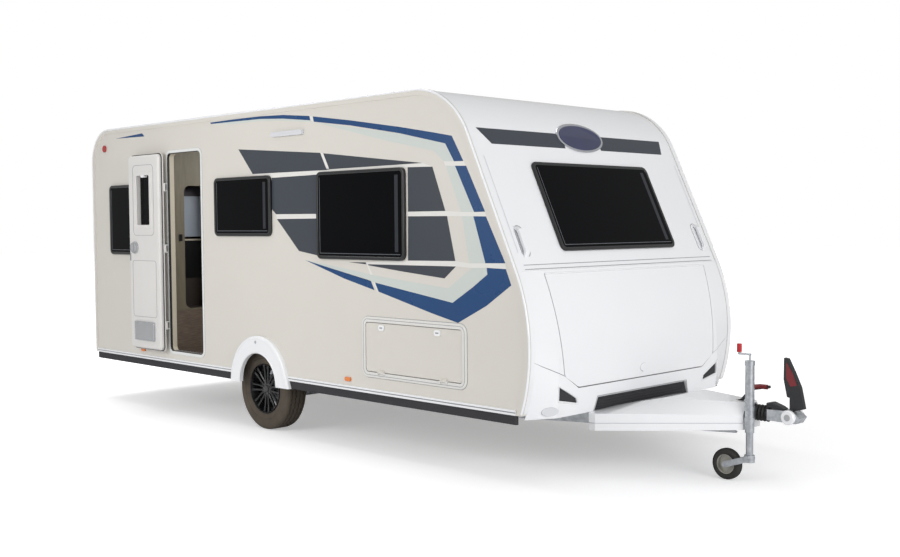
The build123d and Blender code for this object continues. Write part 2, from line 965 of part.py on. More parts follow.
# Locker bulkhead and shelf, which close the cabin off from the gas locker
bulkhead_x = nose_x - locker_wall_x_inset
shelf_z = locker_head + lid_ledge
shelf_front_x = front_x(shelf_z + locker_board, -rail_width) - seat_gap
with BuildPart() as locker_bulkhead:
    with BuildSketch(side_plane(inner_y)):
        with BuildLine():
            Polyline(
                (bulkhead_x, floor_top),
                (bulkhead_x, shelf_z + locker_board),
                (shelf_front_x, shelf_z + locker_board),
                (shelf_front_x, shelf_z),
                (bulkhead_x + locker_board, shelf_z),
                (bulkhead_x + locker_board, floor_top),
                close=True,
            )
        make_face()
    extrude(amount=2 * inner_y)
save(locker_bulkhead, "locker_bulkhead")

# Window panes: bulged acrylic sheets over the holes
with BuildPart() as windows:
    for row in window_shares:
        low_x, high_x, low_z, high_z = pane_box(row)
        high_y = side_y + pane_proud if row[0] > 0 else -side_y
        with BuildPart(mode=Mode.PRIVATE) as pane:
            with BuildSketch(side_plane(high_y)):
                with Locations(((low_x + high_x) / 2, (low_z + high_z) / 2)):
                    RectangleRounded(high_x - low_x, high_z - low_z, pane_corner)
            extrude(amount=pane_proud)
            outer_face = pane.faces().sort_by(Axis.Y)[-1 if row[0] > 0 else 0]
            chamfer(outer_face.edges(), pane_edge)
        add(pane.part)
    with BuildPart(mode=Mode.PRIVATE) as pane:
        with BuildSketch(front_plane):
            RectangleRounded(*front_pane_size, front_pane_corner)
        extrude(amount=front_pane_proud)
        chamfer(pane.faces().sort_by(Axis.X)[-1].edges(), pane_edge)
    add(pane.part)
    with BuildPart(mode=Mode.PRIVATE) as pane:
        with BuildSketch(Plane.YZ.offset(rear_x - pane_proud)):
            with Locations(rear_pane_mid):
                RectangleRounded(*rear_pane_size, pane_corner)
        extrude(amount=pane_proud)
        chamfer(pane.faces().sort_by(Axis.X)[0].edges(), pane_edge)
    add(pane.part)
save(windows, "windows")

# Door frame: jamb through the wall, lip on its face and lugs that carry the hinge pins
face_y = -side_y
lip_y = face_y - door_lip_proud
strip_x = door_x - door_lip_width
lug_front_x = door_x + door_pin_radius
with BuildPart() as door_frame:
    add(rounded_slab(opening_size, opening_mid, lip_y, face_y, door_corner, door_lip_width))
    add(rounded_slab(opening_size, opening_mid, face_y, face_y + door_frame_depth,
                     door_corner, door_jamb))
    add(rounded_slab(opening_size, opening_mid, face_y - overrun, face_y + 2 * overrun,
                     door_corner), mode=Mode.SUBTRACT)
    for share in door_hinge_shares:
        hinge_z = door_sill + share * door_height
        lug_rise = door_knuckle_length / 2 + door_lug_height / 2 + door_lug_gap
        with Locations((door_x, door_y, hinge_z)):
            Cylinder(door_pin_radius, door_knuckle_length + 2 * door_lug_gap + 2 * door_lug_height)
        for direction in (-1, 1):
            lug_z = hinge_z + direction * lug_rise
            with Locations((strip_x, door_y - door_knuckle_radius, lug_z)):
                Box(
                    lug_front_x - strip_x,
                    2 * door_knuckle_radius - door_lip_proud / 2,
                    door_lug_height,
                    align=(Align.MIN, Align.MIN, Align.CENTER),
                )
            with Locations((strip_x, door_y, lug_z)):
                Box(
                    door_lug_strip,
                    lip_y - door_y,
                    door_lug_height,
                    align=(Align.MIN, Align.MIN, Align.CENTER),
                )
save(door_frame, "door_frame")

# Door leaf, folded back flat beside its frame: flange, thick inner moulding and knuckles
leaf_mid = (door_x - door_width / 2, door_mid_z)
leaf_free_x = door_x - door_width + door_overlap
leaf_back_y = door_y - door_axis_to_face
leaf_inner_y = leaf_back_y - door_thickness
pane_mid = (leaf_mid[0], door_sill + door_height - door_pane_drop - door_pane_height / 2)
pane_size = (door_pane_width, door_pane_height)
lock_mid = (leaf_free_x + door_lock_inset, door_sill + door_lock_rise)
with BuildPart() as door_leaf:
    add(rounded_slab(opening_size, leaf_mid, leaf_back_y - door_flange, leaf_back_y,
                     door_corner, door_overlap))
    with BuildPart(mode=Mode.PRIVATE) as moulding:
        add(rounded_slab(opening_size, leaf_mid, leaf_inner_y, leaf_back_y - door_flange,
                         door_corner, -door_overlap))
        chamfer(moulding.faces().sort_by(Axis.Y)[0].edges(), door_mould_edge)
    add(moulding.part)
    add(rounded_slab(pane_size, pane_mid, leaf_inner_y - overrun, leaf_back_y + overrun,
                     door_pane_corner), mode=Mode.SUBTRACT)
    for share in door_hinge_shares:
        hinge_z = door_sill + share * door_height
        with Locations((door_x, door_y, hinge_z)):
            Cylinder(door_knuckle_radius, door_knuckle_length)
        with Locations((door_x, door_y, hinge_z)):
            Box(
                2 * door_knuckle_radius,
                door_axis_to_face,
                door_knuckle_length,
                align=(Align.CENTER, Align.MAX, Align.CENTER),
            )
        with Locations((door_x, door_y, hinge_z)):
            Cylinder(door_pin_radius + pin_gap, 2 * door_knuckle_length, mode=Mode.SUBTRACT)
save(door_leaf, "door_leaf")

with BuildPart() as door_pane:
    pane_y = leaf_back_y - door_flange / 2
    add(rounded_slab(pane_size, pane_mid, pane_y - door_pane_thickness, pane_y,
                     door_pane_corner, -seat_gap))
save(door_pane, "door_pane")

with BuildPart() as door_fittings:
    with BuildSketch(side_plane(leaf_inner_y)):
        with Locations(lock_mid):
            Circle(door_lock_radius)
    extrude(amount=door_lock_proud)
    fillet(door_fittings.faces().sort_by(Axis.Y)[0].edges(), door_lock_proud / 3)
    bin_mid = (leaf_mid[0], door_sill + door_bin_rise + door_bin_height / 2)
    add(rounded_slab((door_bin_width, door_bin_height), bin_mid, leaf_inner_y - door_bin_depth,
                     leaf_inner_y, door_pane_corner))
save(door_fittings, "door_fittings")

# Service hatch: frame with lower hinge pins, and its flap
flap_size = (hatch_hole[0] - 2 * hatch_gap, hatch_hole[1] - 2 * hatch_gap)
flap_low = hatch_mid[1] - flap_size[1] / 2
hatch_axis_y = face_y - hatch_axis_proud
hatch_axis_z = flap_low - hatch_gap / 2
flap_corner = hatch_hole_corner - hatch_gap
with BuildPart() as hatch_frame:
    add(rounded_slab(hatch_size, hatch_mid, face_y - hatch_frame_proud, face_y, hatch_corner))
    chamfer(hatch_frame.faces().sort_by(Axis.Y)[0].edges(), hatch_frame_proud / 2)
    add(rounded_slab(hatch_hole, hatch_mid, face_y - overrun, face_y + overrun,
                     hatch_hole_corner), mode=Mode.SUBTRACT)
    for share in hatch_hinge_shares:
        hinge_x = hatch_rear + share * hatch_size[0]
        with Locations(Plane(origin=(hinge_x, hatch_axis_y, hatch_axis_z), z_dir=(1, 0, 0))):
            Cylinder(hatch_pin_radius, hatch_hinge_length + 2 * door_lug_height)
        for direction in (-1, 1):
            lug_x = hinge_x + direction * (hatch_hinge_length + door_lug_height) / 2
            with Locations((lug_x, hatch_axis_y - hatch_knuckle_radius, hatch_axis_z + hatch_pin_radius)):
                Box(
                    door_lug_height - 2 * door_lug_gap,
                    face_y - hatch_frame_proud / 2 - hatch_axis_y + hatch_knuckle_radius,
                    hatch_lug_drop,
                    align=(Align.CENTER, Align.MIN, Align.MAX),
                )
save(hatch_frame, "hatch_frame")

with BuildPart() as hatch_flap:
    add(rounded_slab(flap_size, hatch_mid, face_y - hatch_frame_proud / 2, face_y + wall - move_gap,
                     flap_corner))
    for share in hatch_latch_shares:
        latch_mid = (hatch_rear + share * hatch_size[0], hatch_head - hatch_latch_drop)
        with BuildSketch(side_plane(face_y)):
            with Locations(latch_mid):
                SlotOverall(hatch_latch_length, 2 * hatch_latch_radius)
        extrude(amount=hatch_frame_proud / 2 + hatch_latch_proud)
    for share in hatch_hinge_shares:
        hinge_x = hatch_rear + share * hatch_size[0]
        hinge_plane = Plane(origin=(hinge_x, hatch_axis_y, hatch_axis_z), z_dir=(1, 0, 0))
        with Locations((hinge_x, hatch_axis_y, hatch_axis_z)):
            Box(
                hatch_hinge_length - 2 * door_lug_gap,
                hatch_axis_proud,
                2 * hatch_knuckle_radius + hatch_gap,
                align=(Align.CENTER, Align.MIN, Align.MIN),
            )
        with Locations(hinge_plane):
            Cylinder(hatch_knuckle_radius, hatch_hinge_length - 2 * door_lug_gap)
        with Locations(hinge_plane):
            Cylinder(hatch_pin_radius + pin_gap, 2 * hatch_hinge_length, mode=Mode.SUBTRACT)
save(hatch_flap, "hatch_flap")

# Cassette door on the left side, swinging back about two pins at its rear edge
cassette_low_x = cassette_mid[0] - cassette_width / 2
cassette_axis = (cassette_low_x - move_gap / 2, side_y + hatch_axis_proud)
with BuildPart() as cassette_frame:
    add(rounded_slab(cassette_hole, cassette_mid, side_y, side_y + door_lip_proud,
                     cassette_corner + move_gap, door_lip_width))
    add(rounded_slab(cassette_hole, cassette_mid, side_y - overrun, side_y + overrun,
                     cassette_corner + move_gap), mode=Mode.SUBTRACT)
    for share in hatch_hinge_shares:
        hinge_z = cassette_mid[1] + (share - 0.5) * cassette_height
        with Locations((*cassette_axis, hinge_z)):
            Cylinder(hatch_pin_radius, hatch_hinge_length + 2 * door_lug_height)
        for direction in (-1, 1):
            lug_z = hinge_z + direction * (hatch_hinge_length + door_lug_height) / 2
            with Locations((cassette_axis[0] + hatch_pin_radius, side_y + door_lip_proud / 2, lug_z)):
                Box(
                    hatch_lug_drop,
                    hatch_axis_proud - door_lip_proud / 2 + hatch_knuckle_radius,
                    door_lug_height - 2 * door_lug_gap,
                    align=(Align.MAX, Align.MIN, Align.CENTER),
                )
save(cassette_frame, "cassette_frame")

with BuildPart() as cassette_door:
    add(rounded_slab((cassette_width, cassette_height), cassette_mid, side_y - wall + move_gap,
                     side_y + door_lip_proud, cassette_corner))
    for share in hatch_hinge_shares:
        hinge_z = cassette_mid[1] + (share - 0.5) * cassette_height
        with Locations((*cassette_axis, hinge_z)):
            Box(
                2 * hatch_knuckle_radius + hatch_gap,
                hatch_axis_proud,
                hatch_hinge_length - 2 * door_lug_gap,
                align=(Align.MIN, Align.MAX, Align.CENTER),
            )
        with Locations((*cassette_axis, hinge_z)):
            Cylinder(hatch_knuckle_radius, hatch_hinge_length - 2 * door_lug_gap)
        with Locations((*cassette_axis, hinge_z)):
            Cylinder(hatch_pin_radius + pin_gap, 2 * hatch_hinge_length, mode=Mode.SUBTRACT)
save(cassette_door, "cassette_door")

# Wheel spats: rounded arch mouldings with slanted feet, one on each side
with BuildPart() as wheel_spats:
    for side in (-1, 1):
        high_y = side_y + spat_proud if side > 0 else -side_y
        with BuildPart(mode=Mode.PRIVATE) as spat:
            with BuildSketch(side_plane(high_y)):
                add(arch_outline())
            extrude(amount=spat_proud)
            outer_face = spat.faces().sort_by(Axis.Y)[-1 if side > 0 else 0]
            curved = outer_face.edges().filter_by(lambda e: e.center().Z > arch_rise)
            fillet(curved, spat_edge_radius)
            with BuildSketch(side_plane(high_y)):
                with Locations((arch_x, arch_rise)):
                    Circle(arch_inner_radius)
                with Locations((arch_x, arch_rise)):
                    Rectangle(2 * arch_inner_radius, roof_height, align=(Align.CENTER, Align.MAX))
            extrude(amount=spat_proud, mode=Mode.SUBTRACT)
        add(spat.part)
save(wheel_spats, "wheel_spats")

# Lamps: amber side markers, high red markers, front lamps and tall rear lamps
with BuildPart() as amber_lamps:
    for side in (-1, 1):
        high_y = side_y + marker_proud if side > 0 else -side_y
        with BuildSketch(side_plane(high_y)):
            for share in marker_shares:
                with Locations((along(share), marker_height)):
                    RectangleRounded(marker_length, marker_width, marker_width / 3)
        extrude(amount=marker_proud)
save(amber_lamps, "amber_lamps")

tail_lamp_y = rail_inner_y - tail_lamp_width / 2 - tail_lamp_inset
tail_lamp_mid = (tail_lamp_low + tail_lamp_high) / 2
with BuildPart() as red_lamps:
    for side in (-1, 1):
        with BuildSketch(Plane.YZ.offset(rear_x - tail_lamp_depth)):
            with Locations((side * tail_lamp_y, tail_lamp_mid)):
                RectangleRounded(tail_lamp_width, tail_lamp_high - tail_lamp_low, tail_lamp_width / 4)
        extrude(amount=tail_lamp_depth)
        high_y = side_y + marker_proud if side > 0 else -side_y
        with BuildSketch(side_plane(high_y)):
            with Locations((along(high_marker_share), roof_height - high_marker_drop)):
                Circle(high_marker_radius)
        extrude(amount=marker_proud)
save(red_lamps, "red_lamps")

with BuildPart() as clear_lamps:
    for side in (-1, 1):
        with BuildSketch(lamp_plane(side).offset(-lamp_depth)):
            Ellipse(lamp_half_width, lamp_half_height)
        extrude(amount=lamp_depth + lamp_proud)
    with BuildSketch(side_plane(-side_y)):
        awning_rear = along(awning_lamp_rear_share)
        awning_front = along(awning_lamp_front_share)
        with Locations(((awning_rear + awning_front) / 2, roof_height - awning_lamp_drop)):
            RectangleRounded(awning_front - awning_rear, awning_lamp_width, awning_lamp_width / 3)
    extrude(amount=awning_lamp_proud)
save(clear_lamps, "clear_lamps")

# Rear bumper with a recess for a bare plate
rear_bumper_low = floor_height - rear_bumper_drop
with BuildPart() as rear_bumper:
    with BuildSketch(Plane.XY.offset(rear_bumper_low)):
        with Locations((rear_x, 0)):
            RectangleRounded(2 * bumper_rear_depth, 2 * rail_inner_y, bumper_rear_depth / 2)
        with Locations((rear_x, 0)):
            Rectangle(body_length, body_width, align=(Align.MIN, Align.CENTER), mode=Mode.SUBTRACT)
    extrude(amount=bumper_rear_height)
    chamfer(rear_bumper.edges().filter_by(Axis.Y).group_by(Axis.X)[0], bumper_rear_depth / 4)
save(rear_bumper, "rear_bumper")

# Grab handles: two on the leaning front and two on the rear wall
with BuildPart() as grab_handles:
    for side in (-1, 1):
        front_middle = (handle_low + handle_high) / 2
        rear_middle = (rear_handle_low + rear_handle_high) / 2
        for plane, length in (
            (
                Plane(
                    origin=(front_x(front_middle), side * (side_y - handle_inset) - handle_width / 2, front_middle),
                    x_dir=(-math.sin(lean), 0, math.cos(lean)),
                    z_dir=(0, 1, 0),
                ),
                (handle_high - handle_low) / math.cos(lean),
            ),
            (
                Plane(
                    origin=(rear_x, side * (side_y - rear_handle_inset) + handle_width / 2, rear_middle),
                    x_dir=(0, 0, 1),
                    z_dir=(0, -1, 0),
                ),
                rear_handle_high - rear_handle_low,
            ),
        ):
            half = length / 2
            inner = handle_stand - handle_grip
            with BuildSketch(plane):
                with BuildLine():
                    Polyline(
                        (-half, 0),
                        (-half + handle_stand, handle_stand),
                        (half - handle_stand, handle_stand),
                        (half, 0),
                        (half - handle_grip, 0),
                        (half - handle_stand - handle_grip / 2, inner),
                        (-half + handle_stand + handle_grip / 2, inner),
                        (-half + handle_grip, 0),
                        close=True,
                    )
                make_face()
            extrude(amount=handle_width)
save(grab_handles, "grab_handles")

# Roof hatches: collars on the roof and domed lids that lift about their rear edges
dome_low = roof_height + roof_hatch_frame_height
hatch_axis_up = dome_low + roof_hatch_knuckle + seat_gap
with BuildPart() as roof_hatch_collars:
    for place_x, length, width in roof_hatch_places:
        with BuildSketch(Plane.XY.offset(roof_height)):
            with Locations((place_x, 0)):
                RectangleRounded(
                    length + 2 * roof_hatch_frame_width,
                    width + 2 * roof_hatch_frame_width,
                    roof_hatch_corner + roof_hatch_frame_width,
                )
                RectangleRounded(length, width, roof_hatch_corner, mode=Mode.SUBTRACT)
        extrude(amount=roof_hatch_frame_height)
        pin_x = place_x - length / 2 - roof_hatch_frame_width + roof_hatch_knuckle
        lug_y = roof_hatch_knuckle_share * width / 2 + door_lug_gap + roof_hatch_lug / 2
        with Locations(Plane(origin=(pin_x, 0, hatch_axis_up), z_dir=(0, 1, 0))):
            Cylinder(roof_hatch_pin, 2 * lug_y + roof_hatch_lug)
        with Locations((pin_x, -lug_y, dome_low), (pin_x, lug_y, dome_low)):
            Box(
                2 * roof_hatch_knuckle,
                roof_hatch_lug,
                hatch_axis_up - dome_low + roof_hatch_pin,
                align=(Align.CENTER, Align.CENTER, Align.MIN),
            )
save(roof_hatch_collars, "roof_hatch_collars")

for number, (place_x, length, width) in enumerate(roof_hatch_places):
    outer = (length + roof_hatch_frame_width, width + roof_hatch_frame_width)
    pin_x = place_x - length / 2 - roof_hatch_frame_width + roof_hatch_knuckle
    knuckle_length = roof_hatch_knuckle_share * width
    with BuildPart() as dome:
        with BuildSketch(Plane.XY.offset(dome_low + seat_gap)):
            with Locations((place_x, 0)):
                RectangleRounded(*outer, roof_hatch_corner)
        extrude(amount=roof_hatch_dome_height, taper=roof_hatch_taper)
        fillet(dome.faces().sort_by(Axis.Z)[-1].edges(), roof_hatch_corner / 4)
        with BuildSketch(Plane.XY.offset(dome_low + seat_gap)):
            with Locations((place_x, 0)):
                RectangleRounded(
                    outer[0] - 2 * roof_hatch_sheet,
                    outer[1] - 2 * roof_hatch_sheet,
                    roof_hatch_corner - roof_hatch_sheet,
                )
        extrude(
            amount=roof_hatch_dome_height - roof_hatch_sheet,
            taper=roof_hatch_taper,
            mode=Mode.SUBTRACT,
        )
        hinge_plane = Plane(origin=(pin_x, 0, hatch_axis_up), z_dir=(0, 1, 0))
        with Locations(hinge_plane):
            Cylinder(roof_hatch_knuckle, knuckle_length)
        with Locations((pin_x, 0, hatch_axis_up)):
            Box(
                roof_hatch_frame_width / 2 - roof_hatch_knuckle + roof_hatch_sheet,
                knuckle_length,
                roof_hatch_knuckle,
                align=(Align.MIN, Align.CENTER, Align.MIN),
            )
        with Locations(hinge_plane):
            Cylinder(roof_hatch_pin + pin_gap, width, mode=Mode.SUBTRACT)
    save(dome, f"roof_hatch_{number + 1}")


def strip(start, end, inner, outer, low, high):
    """Flat bar along a line in plan, between two offsets to its left, from low to high."""
    direction = (Vector(*end) - Vector(*start)).normalized()
    left = Vector(-direction.Y, direction.X)
    corners = []
    for point, reach in ((start, inner), (end, inner), (end, outer), (start, outer)):
        spot = Vector(*point) + left * reach
        corners.append((spot.X, spot.Y))
    with BuildPart() as bar:
        with BuildSketch(Plane.XY.offset(low)):
            with BuildLine():
                Polyline(*corners, close=True)
            make_face()
        extrude(amount=high - low)
    return bar.part


def channel(start, end, inward, top):
    """Channel section along a line in plan: a web with its two flanges turned inwards."""
    low = top - rail_depth
    web = inward * rail_sheet
    flange = inward * rail_flange
    return (
        strip(start, end, 0, web, low, top),
        strip(start, end, web, flange, low, low + rail_sheet),
        strip(start, end, web, flange, top - rail_sheet, top),
    )


# Chassis frame: side channels, drawbar legs, cross members and the steadies' ears
frame_rear_x = rear_x + rail_rear_inset
knee_x = nose_x - drawbar_knee_inset
tip_x = coupling_x - drawbar_tip_inset
leg_top = bumper_step - leg_gap
leg_slope = (rail_y - body_block_width / 2) / (tip_x - knee_x)
drawbar_tip_y = body_block_width / 2 + rail_flange * math.hypot(1, leg_slope) + seat_gap
housing_rear_x = tip_x - housing_overlap
steady_places = []
for side in (-1, 1):
    steady_places.append((rear_x + steady_rear_inset, side * steady_y, -1))
    steady_places.append((nose_x - steady_front_inset, side * steady_y, 1))
steady_axis_z = floor_height - steady_pivot_drop
with BuildPart() as chassis_frame:
    for side in (-1, 1):
        outer = side * (rail_y + rail_flange)
        for piece in channel((frame_rear_x, outer), (knee_x, outer), -side, floor_height):
            add(piece)
        for piece in channel((knee_x, outer), (tip_x, side * drawbar_tip_y), -side, leg_top):
            add(piece)
    with Locations((housing_rear_x, 0, leg_top)):
        Box(
            tip_x - housing_rear_x,
            body_block_width,
            leg_top - coupling_height + body_block_height / 2,
            align=(Align.MIN, Align.CENTER, Align.MAX),
            mode=Mode.SUBTRACT,
        )
    with Locations((housing_rear_x, 0, coupling_height - body_block_height / 2)):
        Box(
            tip_x - housing_rear_x,
            2 * drawbar_tip_y - rail_sheet,
            rail_flange,
            align=(Align.MIN, Align.CENTER, Align.MAX),
        )
    for share in cross_member_shares:
        with Locations((along(share), 0, floor_height)):
            Box(
                rail_flange,
                2 * (rail_y + rail_sheet),
                rail_depth / 2,
                align=(Align.CENTER, Align.CENTER, Align.MAX),
            )
    for place_x, place_y, _ in steady_places:
        side = math.copysign(1, place_y)
        with Locations((place_x, side * rail_y, floor_height)):
            Box(
                2 * steady_ear_half,
                steady_y - rail_y + steady_width / 2 + move_gap + steady_ear,
                rail_sheet,
                align=(Align.CENTER, Align.MIN if side > 0 else Align.MAX, Align.MAX),
            )
        for direction in (-1, 1):
            ear_y = place_y + direction * (steady_width / 2 + pin_end_gap + steady_ear / 2)
            with Locations((place_x, ear_y, floor_height)):
                Box(
                    2 * steady_ear_half,
                    steady_ear,
                    steady_pivot_drop + steady_ear_half,
                    align=(Align.CENTER, Align.CENTER, Align.MAX),
                )
        with Locations(Plane(origin=(place_x, place_y, steady_axis_z), z_dir=(0, 1, 0))):
            Cylinder(steady_pin_radius, steady_width + 2 * pin_end_gap + 2 * steady_ear)
save(chassis_frame, "chassis_frame")

# Corner steadies: pressed legs that lie under the floor and swing down to the ground
steady_names = ("steady_rear_right", "steady_front_right", "steady_rear_left", "steady_front_left")
for name, (place_x, place_y, outward) in zip(steady_names, steady_places):
    with BuildPart() as steady:
        with BuildSketch(side_plane(place_y + steady_width / 2)):
            with Locations((place_x, steady_axis_z)):
                Circle(steady_height / 2)
            with Locations((place_x + outward * steady_length / 2, steady_axis_z)):
                Rectangle(steady_length, steady_height)
        extrude(amount=steady_width)
        with BuildSketch(side_plane(place_y + steady_width / 2 - steady_sheet)):
            with Locations((place_x + outward * (steady_length / 2 + steady_height / 2), steady_axis_z)):
                Rectangle(
                    steady_length - steady_height,
                    steady_height,
                    align=(Align.CENTER, Align.CENTER),
                )
        extrude(amount=steady_width - 2 * steady_sheet, mode=Mode.SUBTRACT)
        with Locations((place_x + outward * steady_length / 2, place_y, steady_axis_z + steady_height / 2)):
            Box(steady_length, steady_width, steady_sheet, align=(Align.CENTER, Align.CENTER, Align.MAX))
        foot_plane = Plane(
            origin=(place_x + outward * steady_length, place_y, steady_axis_z),
            x_dir=(math.cos(math.radians(steady_angle)), 0, outward * math.sin(math.radians(steady_angle))),
            z_dir=(-outward * math.sin(math.radians(steady_angle)), 0, math.cos(math.radians(steady_angle))),
        )
        with Locations(foot_plane):
            Box(steady_foot, steady_width, steady_foot_thickness)
        with Locations(Plane(origin=(place_x, place_y, steady_axis_z), z_dir=(0, 1, 0))):
            Cylinder(steady_pin_radius + pin_gap, 2 * steady_width, mode=Mode.SUBTRACT)
    save(steady, name)

# Axle: cross tube under the rails, trailing arms, drums and stub shafts
tube_x = axle_x + axle_tube_lead
tube_z = floor_height - rail_depth - axle_tube_radius
wheel_y = side_y - wheel_face_inset - tyre_width / 2
drum_outer_y = wheel_y + drum_reach
with BuildPart() as axle:
    with Locations(Plane(origin=(tube_x, 0, tube_z), z_dir=(0, 1, 0))):
        Cylinder(axle_tube_radius, 2 * swing_arm_y)
    for side in (-1, 1):
        with BuildSketch(side_plane(side * swing_arm_y + swing_arm_width / 2)):
            with BuildLine():
                Line((tube_x, tube_z), (axle_x, wheel_radius))
            trace(line_width=swing_arm_height)
            with Locations((tube_x, tube_z), (axle_x, wheel_radius)):
                Circle(swing_arm_height / 2 + steady_ear)
        extrude(amount=swing_arm_width)
        for radius, low, high in (
            (drum_radius, swing_arm_y, drum_outer_y),
            (stub_radius, drum_outer_y, drum_outer_y + stub_length),
        ):
            with Locations(
                Plane(origin=(axle_x, side * low, wheel_radius), z_dir=(0, side, 0))
            ):
                Cylinder(
                    radius, high - low, align=(Align.CENTER, Align.CENTER, Align.MIN)
                )
save(axle, "axle")

# Wheels: tyre with rounded shoulders and grooves, and a rim with paired spokes
bead = tyre_width / 2 - tyre_bead_inset
wheel_axis = Axis((axle_x, 0, wheel_radius), (0, 1, 0))
shoulder = tyre_width / 2 - tyre_shoulder


def tyre_face():
    """Tyre section about the wheel's centre: beads, bulged walls and shoulders."""
    widest = (tyre_width / 2, rim_radius + tyre_widest_share * (wheel_radius - rim_radius))
    half = [(bead, rim_radius), widest, (shoulder, wheel_radius)]
    other = [(-y, z) for y, z in reversed(half)]
    with BuildSketch() as section:
        with BuildLine():
            Polyline(*half, *other, close=True)
        make_face()
    return section.sketch


def spoke_pair():
    """One pair of spokes, splayed from the hub to the rim's well."""
    spoke_low = hub_radius - spoke_width
    spoke_high = rim_radius - rim_sheet / 2
    with BuildSketch() as pair:
        for direction in (-1, 1):
            with BuildLine():
                Polyline(
                    (spoke_low, direction * spoke_splay * spoke_root_share),
                    (spoke_high, direction * (spoke_splay + spoke_width / 2)),
                    (spoke_high, direction * (spoke_splay + spoke_width * 3 / 2)),
                    (spoke_low, direction * (spoke_splay * spoke_root_share + spoke_width)),
                    close=True,
                )
            make_face()
    return pair.sketch


for side, word in ((-1, "right"), (1, "left")):
    with BuildPart() as tyre:
        with BuildSketch(Plane.YZ.offset(axle_x)):
            with Locations((side * wheel_y, wheel_radius)):
                add(tyre_face())
        revolve(axis=wheel_axis)
    save(tyre, f"tyre_{word}")

    flange = bead + seat_gap
    rim_face_y = wheel_y + rim_face_offset
    with BuildPart() as rim:
        for radius, inner, low, high in (
            (rim_radius - seat_gap, rim_radius - rim_sheet, -flange - rim_flange, flange + rim_flange),
            (hub_radius, 0, rim_face_offset - hub_depth, rim_face_offset),
            (hub_cap_radius, 0, rim_face_offset, rim_face_offset + hub_cap_proud),
        ):
            with Locations(
                Plane(origin=(axle_x, side * (wheel_y + low), wheel_radius), z_dir=(0, side, 0))
            ):
                Cylinder(radius, high - low, align=(Align.CENTER, Align.CENTER, Align.MIN))
                if inner:
                    Cylinder(
                        inner,
                        high - low,
                        align=(Align.CENTER, Align.CENTER, Align.MIN),
                        mode=Mode.SUBTRACT,
                    )
        spoke_plane = Plane(
            origin=(axle_x, side * rim_face_y, wheel_radius), x_dir=(1, 0, 0), z_dir=(0, side, 0)
        )
        with BuildSketch(spoke_plane):
            with PolarLocations(0, spoke_count):
                add(spoke_pair())
        extrude(amount=-spoke_depth)
        with Locations(
            Plane(origin=(axle_x, side * (drum_outer_y - overrun), wheel_radius), z_dir=(0, side, 0))
        ):
            Cylinder(
                stub_radius + pin_gap,
                overrun + stub_length + seat_gap,
                align=(Align.CENTER, Align.CENTER, Align.MIN),
                mode=Mode.SUBTRACT,
            )
    save(rim, f"rim_{word}")


def cover_section(x, row, inset, drop):
    """Cross-section of the drawbar cover: upright sides, a crease and a flat top."""
    width = row[1] - inset
    low = row[2] - drop
    crease = row[3] - inset / 2
    top = row[4] - inset
    top_half = row[5] - inset / 2
    with BuildSketch(Plane.YZ.offset(x)) as section:
        with BuildLine():
            Polyline(
                (-width, low),
                (-width, crease),
                (-top_half, top),
                (top_half, top),
                (width, crease),
                (width, low),
                close=True,
            )
        make_face()
    return section.sketch


# Moulded cover over the drawbar legs, open below, from the bumper to the jockey wheel
cover_rear_x = lid_x(grille_sill) + seat_gap
cover_front_x = coupling_x - cover_front_inset
cover_length = cover_front_x - cover_rear_x
cover_top = cover_sections[-1][4]
with BuildPart() as drawbar_cover:
    for row in cover_sections:
        add(cover_section(cover_rear_x + row[0] * cover_length, row, 0, 0))
    loft(ruled=True)
    add(cover_section(cover_rear_x - overrun, cover_sections[0], cover_sheet, overrun))
    for row in cover_sections[:-1]:
        add(cover_section(cover_rear_x + row[0] * cover_length, row, cover_sheet, overrun))
    add(cover_section(cover_front_x - cover_sheet, cover_sections[-1], cover_sheet, overrun))
    loft(ruled=True, mode=Mode.SUBTRACT)
    with Locations((cover_front_x, 0, coupling_height)):
        Box(
            4 * cover_sheet,
            body_block_width + 2 * (bracket_sheet + move_gap),
            body_block_height + 2 * move_gap,
            mode=Mode.SUBTRACT,
        )
    with Locations((housing_rear_x + brake_foot - 2 * brake_boss_radius, 0, cover_top)):
        Box(
            body_length,
            2 * brake_lever_width + 2 * move_gap,
            4 * cover_sheet,
            align=(Align.MIN, Align.CENTER, Align.CENTER),
            mode=Mode.SUBTRACT,
        )
save(drawbar_cover, "drawbar_cover")

# Coupling: shaft housing, drawn shaft, ball head with pads on both sides
housing_front_x = coupling_x - head_length / 2 - bellows_length - head_overlap
head_rear_x = housing_front_x + bellows_length
with BuildPart() as coupling:
    with Locations((housing_rear_x, 0, coupling_height)):
        Box(
            housing_front_x - housing_rear_x,
            body_block_width,
            body_block_height,
            align=(Align.MIN, Align.CENTER, Align.CENTER),
        )
    with Locations(Plane(origin=(housing_front_x, 0, coupling_height), z_dir=(1, 0, 0))):
        Cylinder(
            shaft_radius, bellows_length, align=(Align.CENTER, Align.CENTER, Align.MIN)
        )
    with BuildSketch(side_plane(head_width / 2)):
        with BuildLine():
            Polyline(
                (head_rear_x, coupling_height - head_height * head_mouth_share),
                (head_rear_x, coupling_height + head_height * head_mouth_share),
                (coupling_x, coupling_height + head_height / 2),
                (coupling_x + pad_radius, coupling_height + head_height * head_lip_share),
                (coupling_x + head_nose, coupling_height),
                (coupling_x + pad_radius, coupling_height - head_height / 2),
                (coupling_x, coupling_height - head_height / 2),
                close=True,
            )
        make_face()
    extrude(amount=head_width)
    with Locations((coupling_x, 0, coupling_height - head_height / 2 + ball_rise)):
        Sphere(ball_radius + pin_gap, mode=Mode.SUBTRACT)
        Cylinder(
            ball_radius + pin_gap,
            head_height,
            align=(Align.CENTER, Align.CENTER, Align.MAX),
            mode=Mode.SUBTRACT,
        )
save(coupling, "coupling")

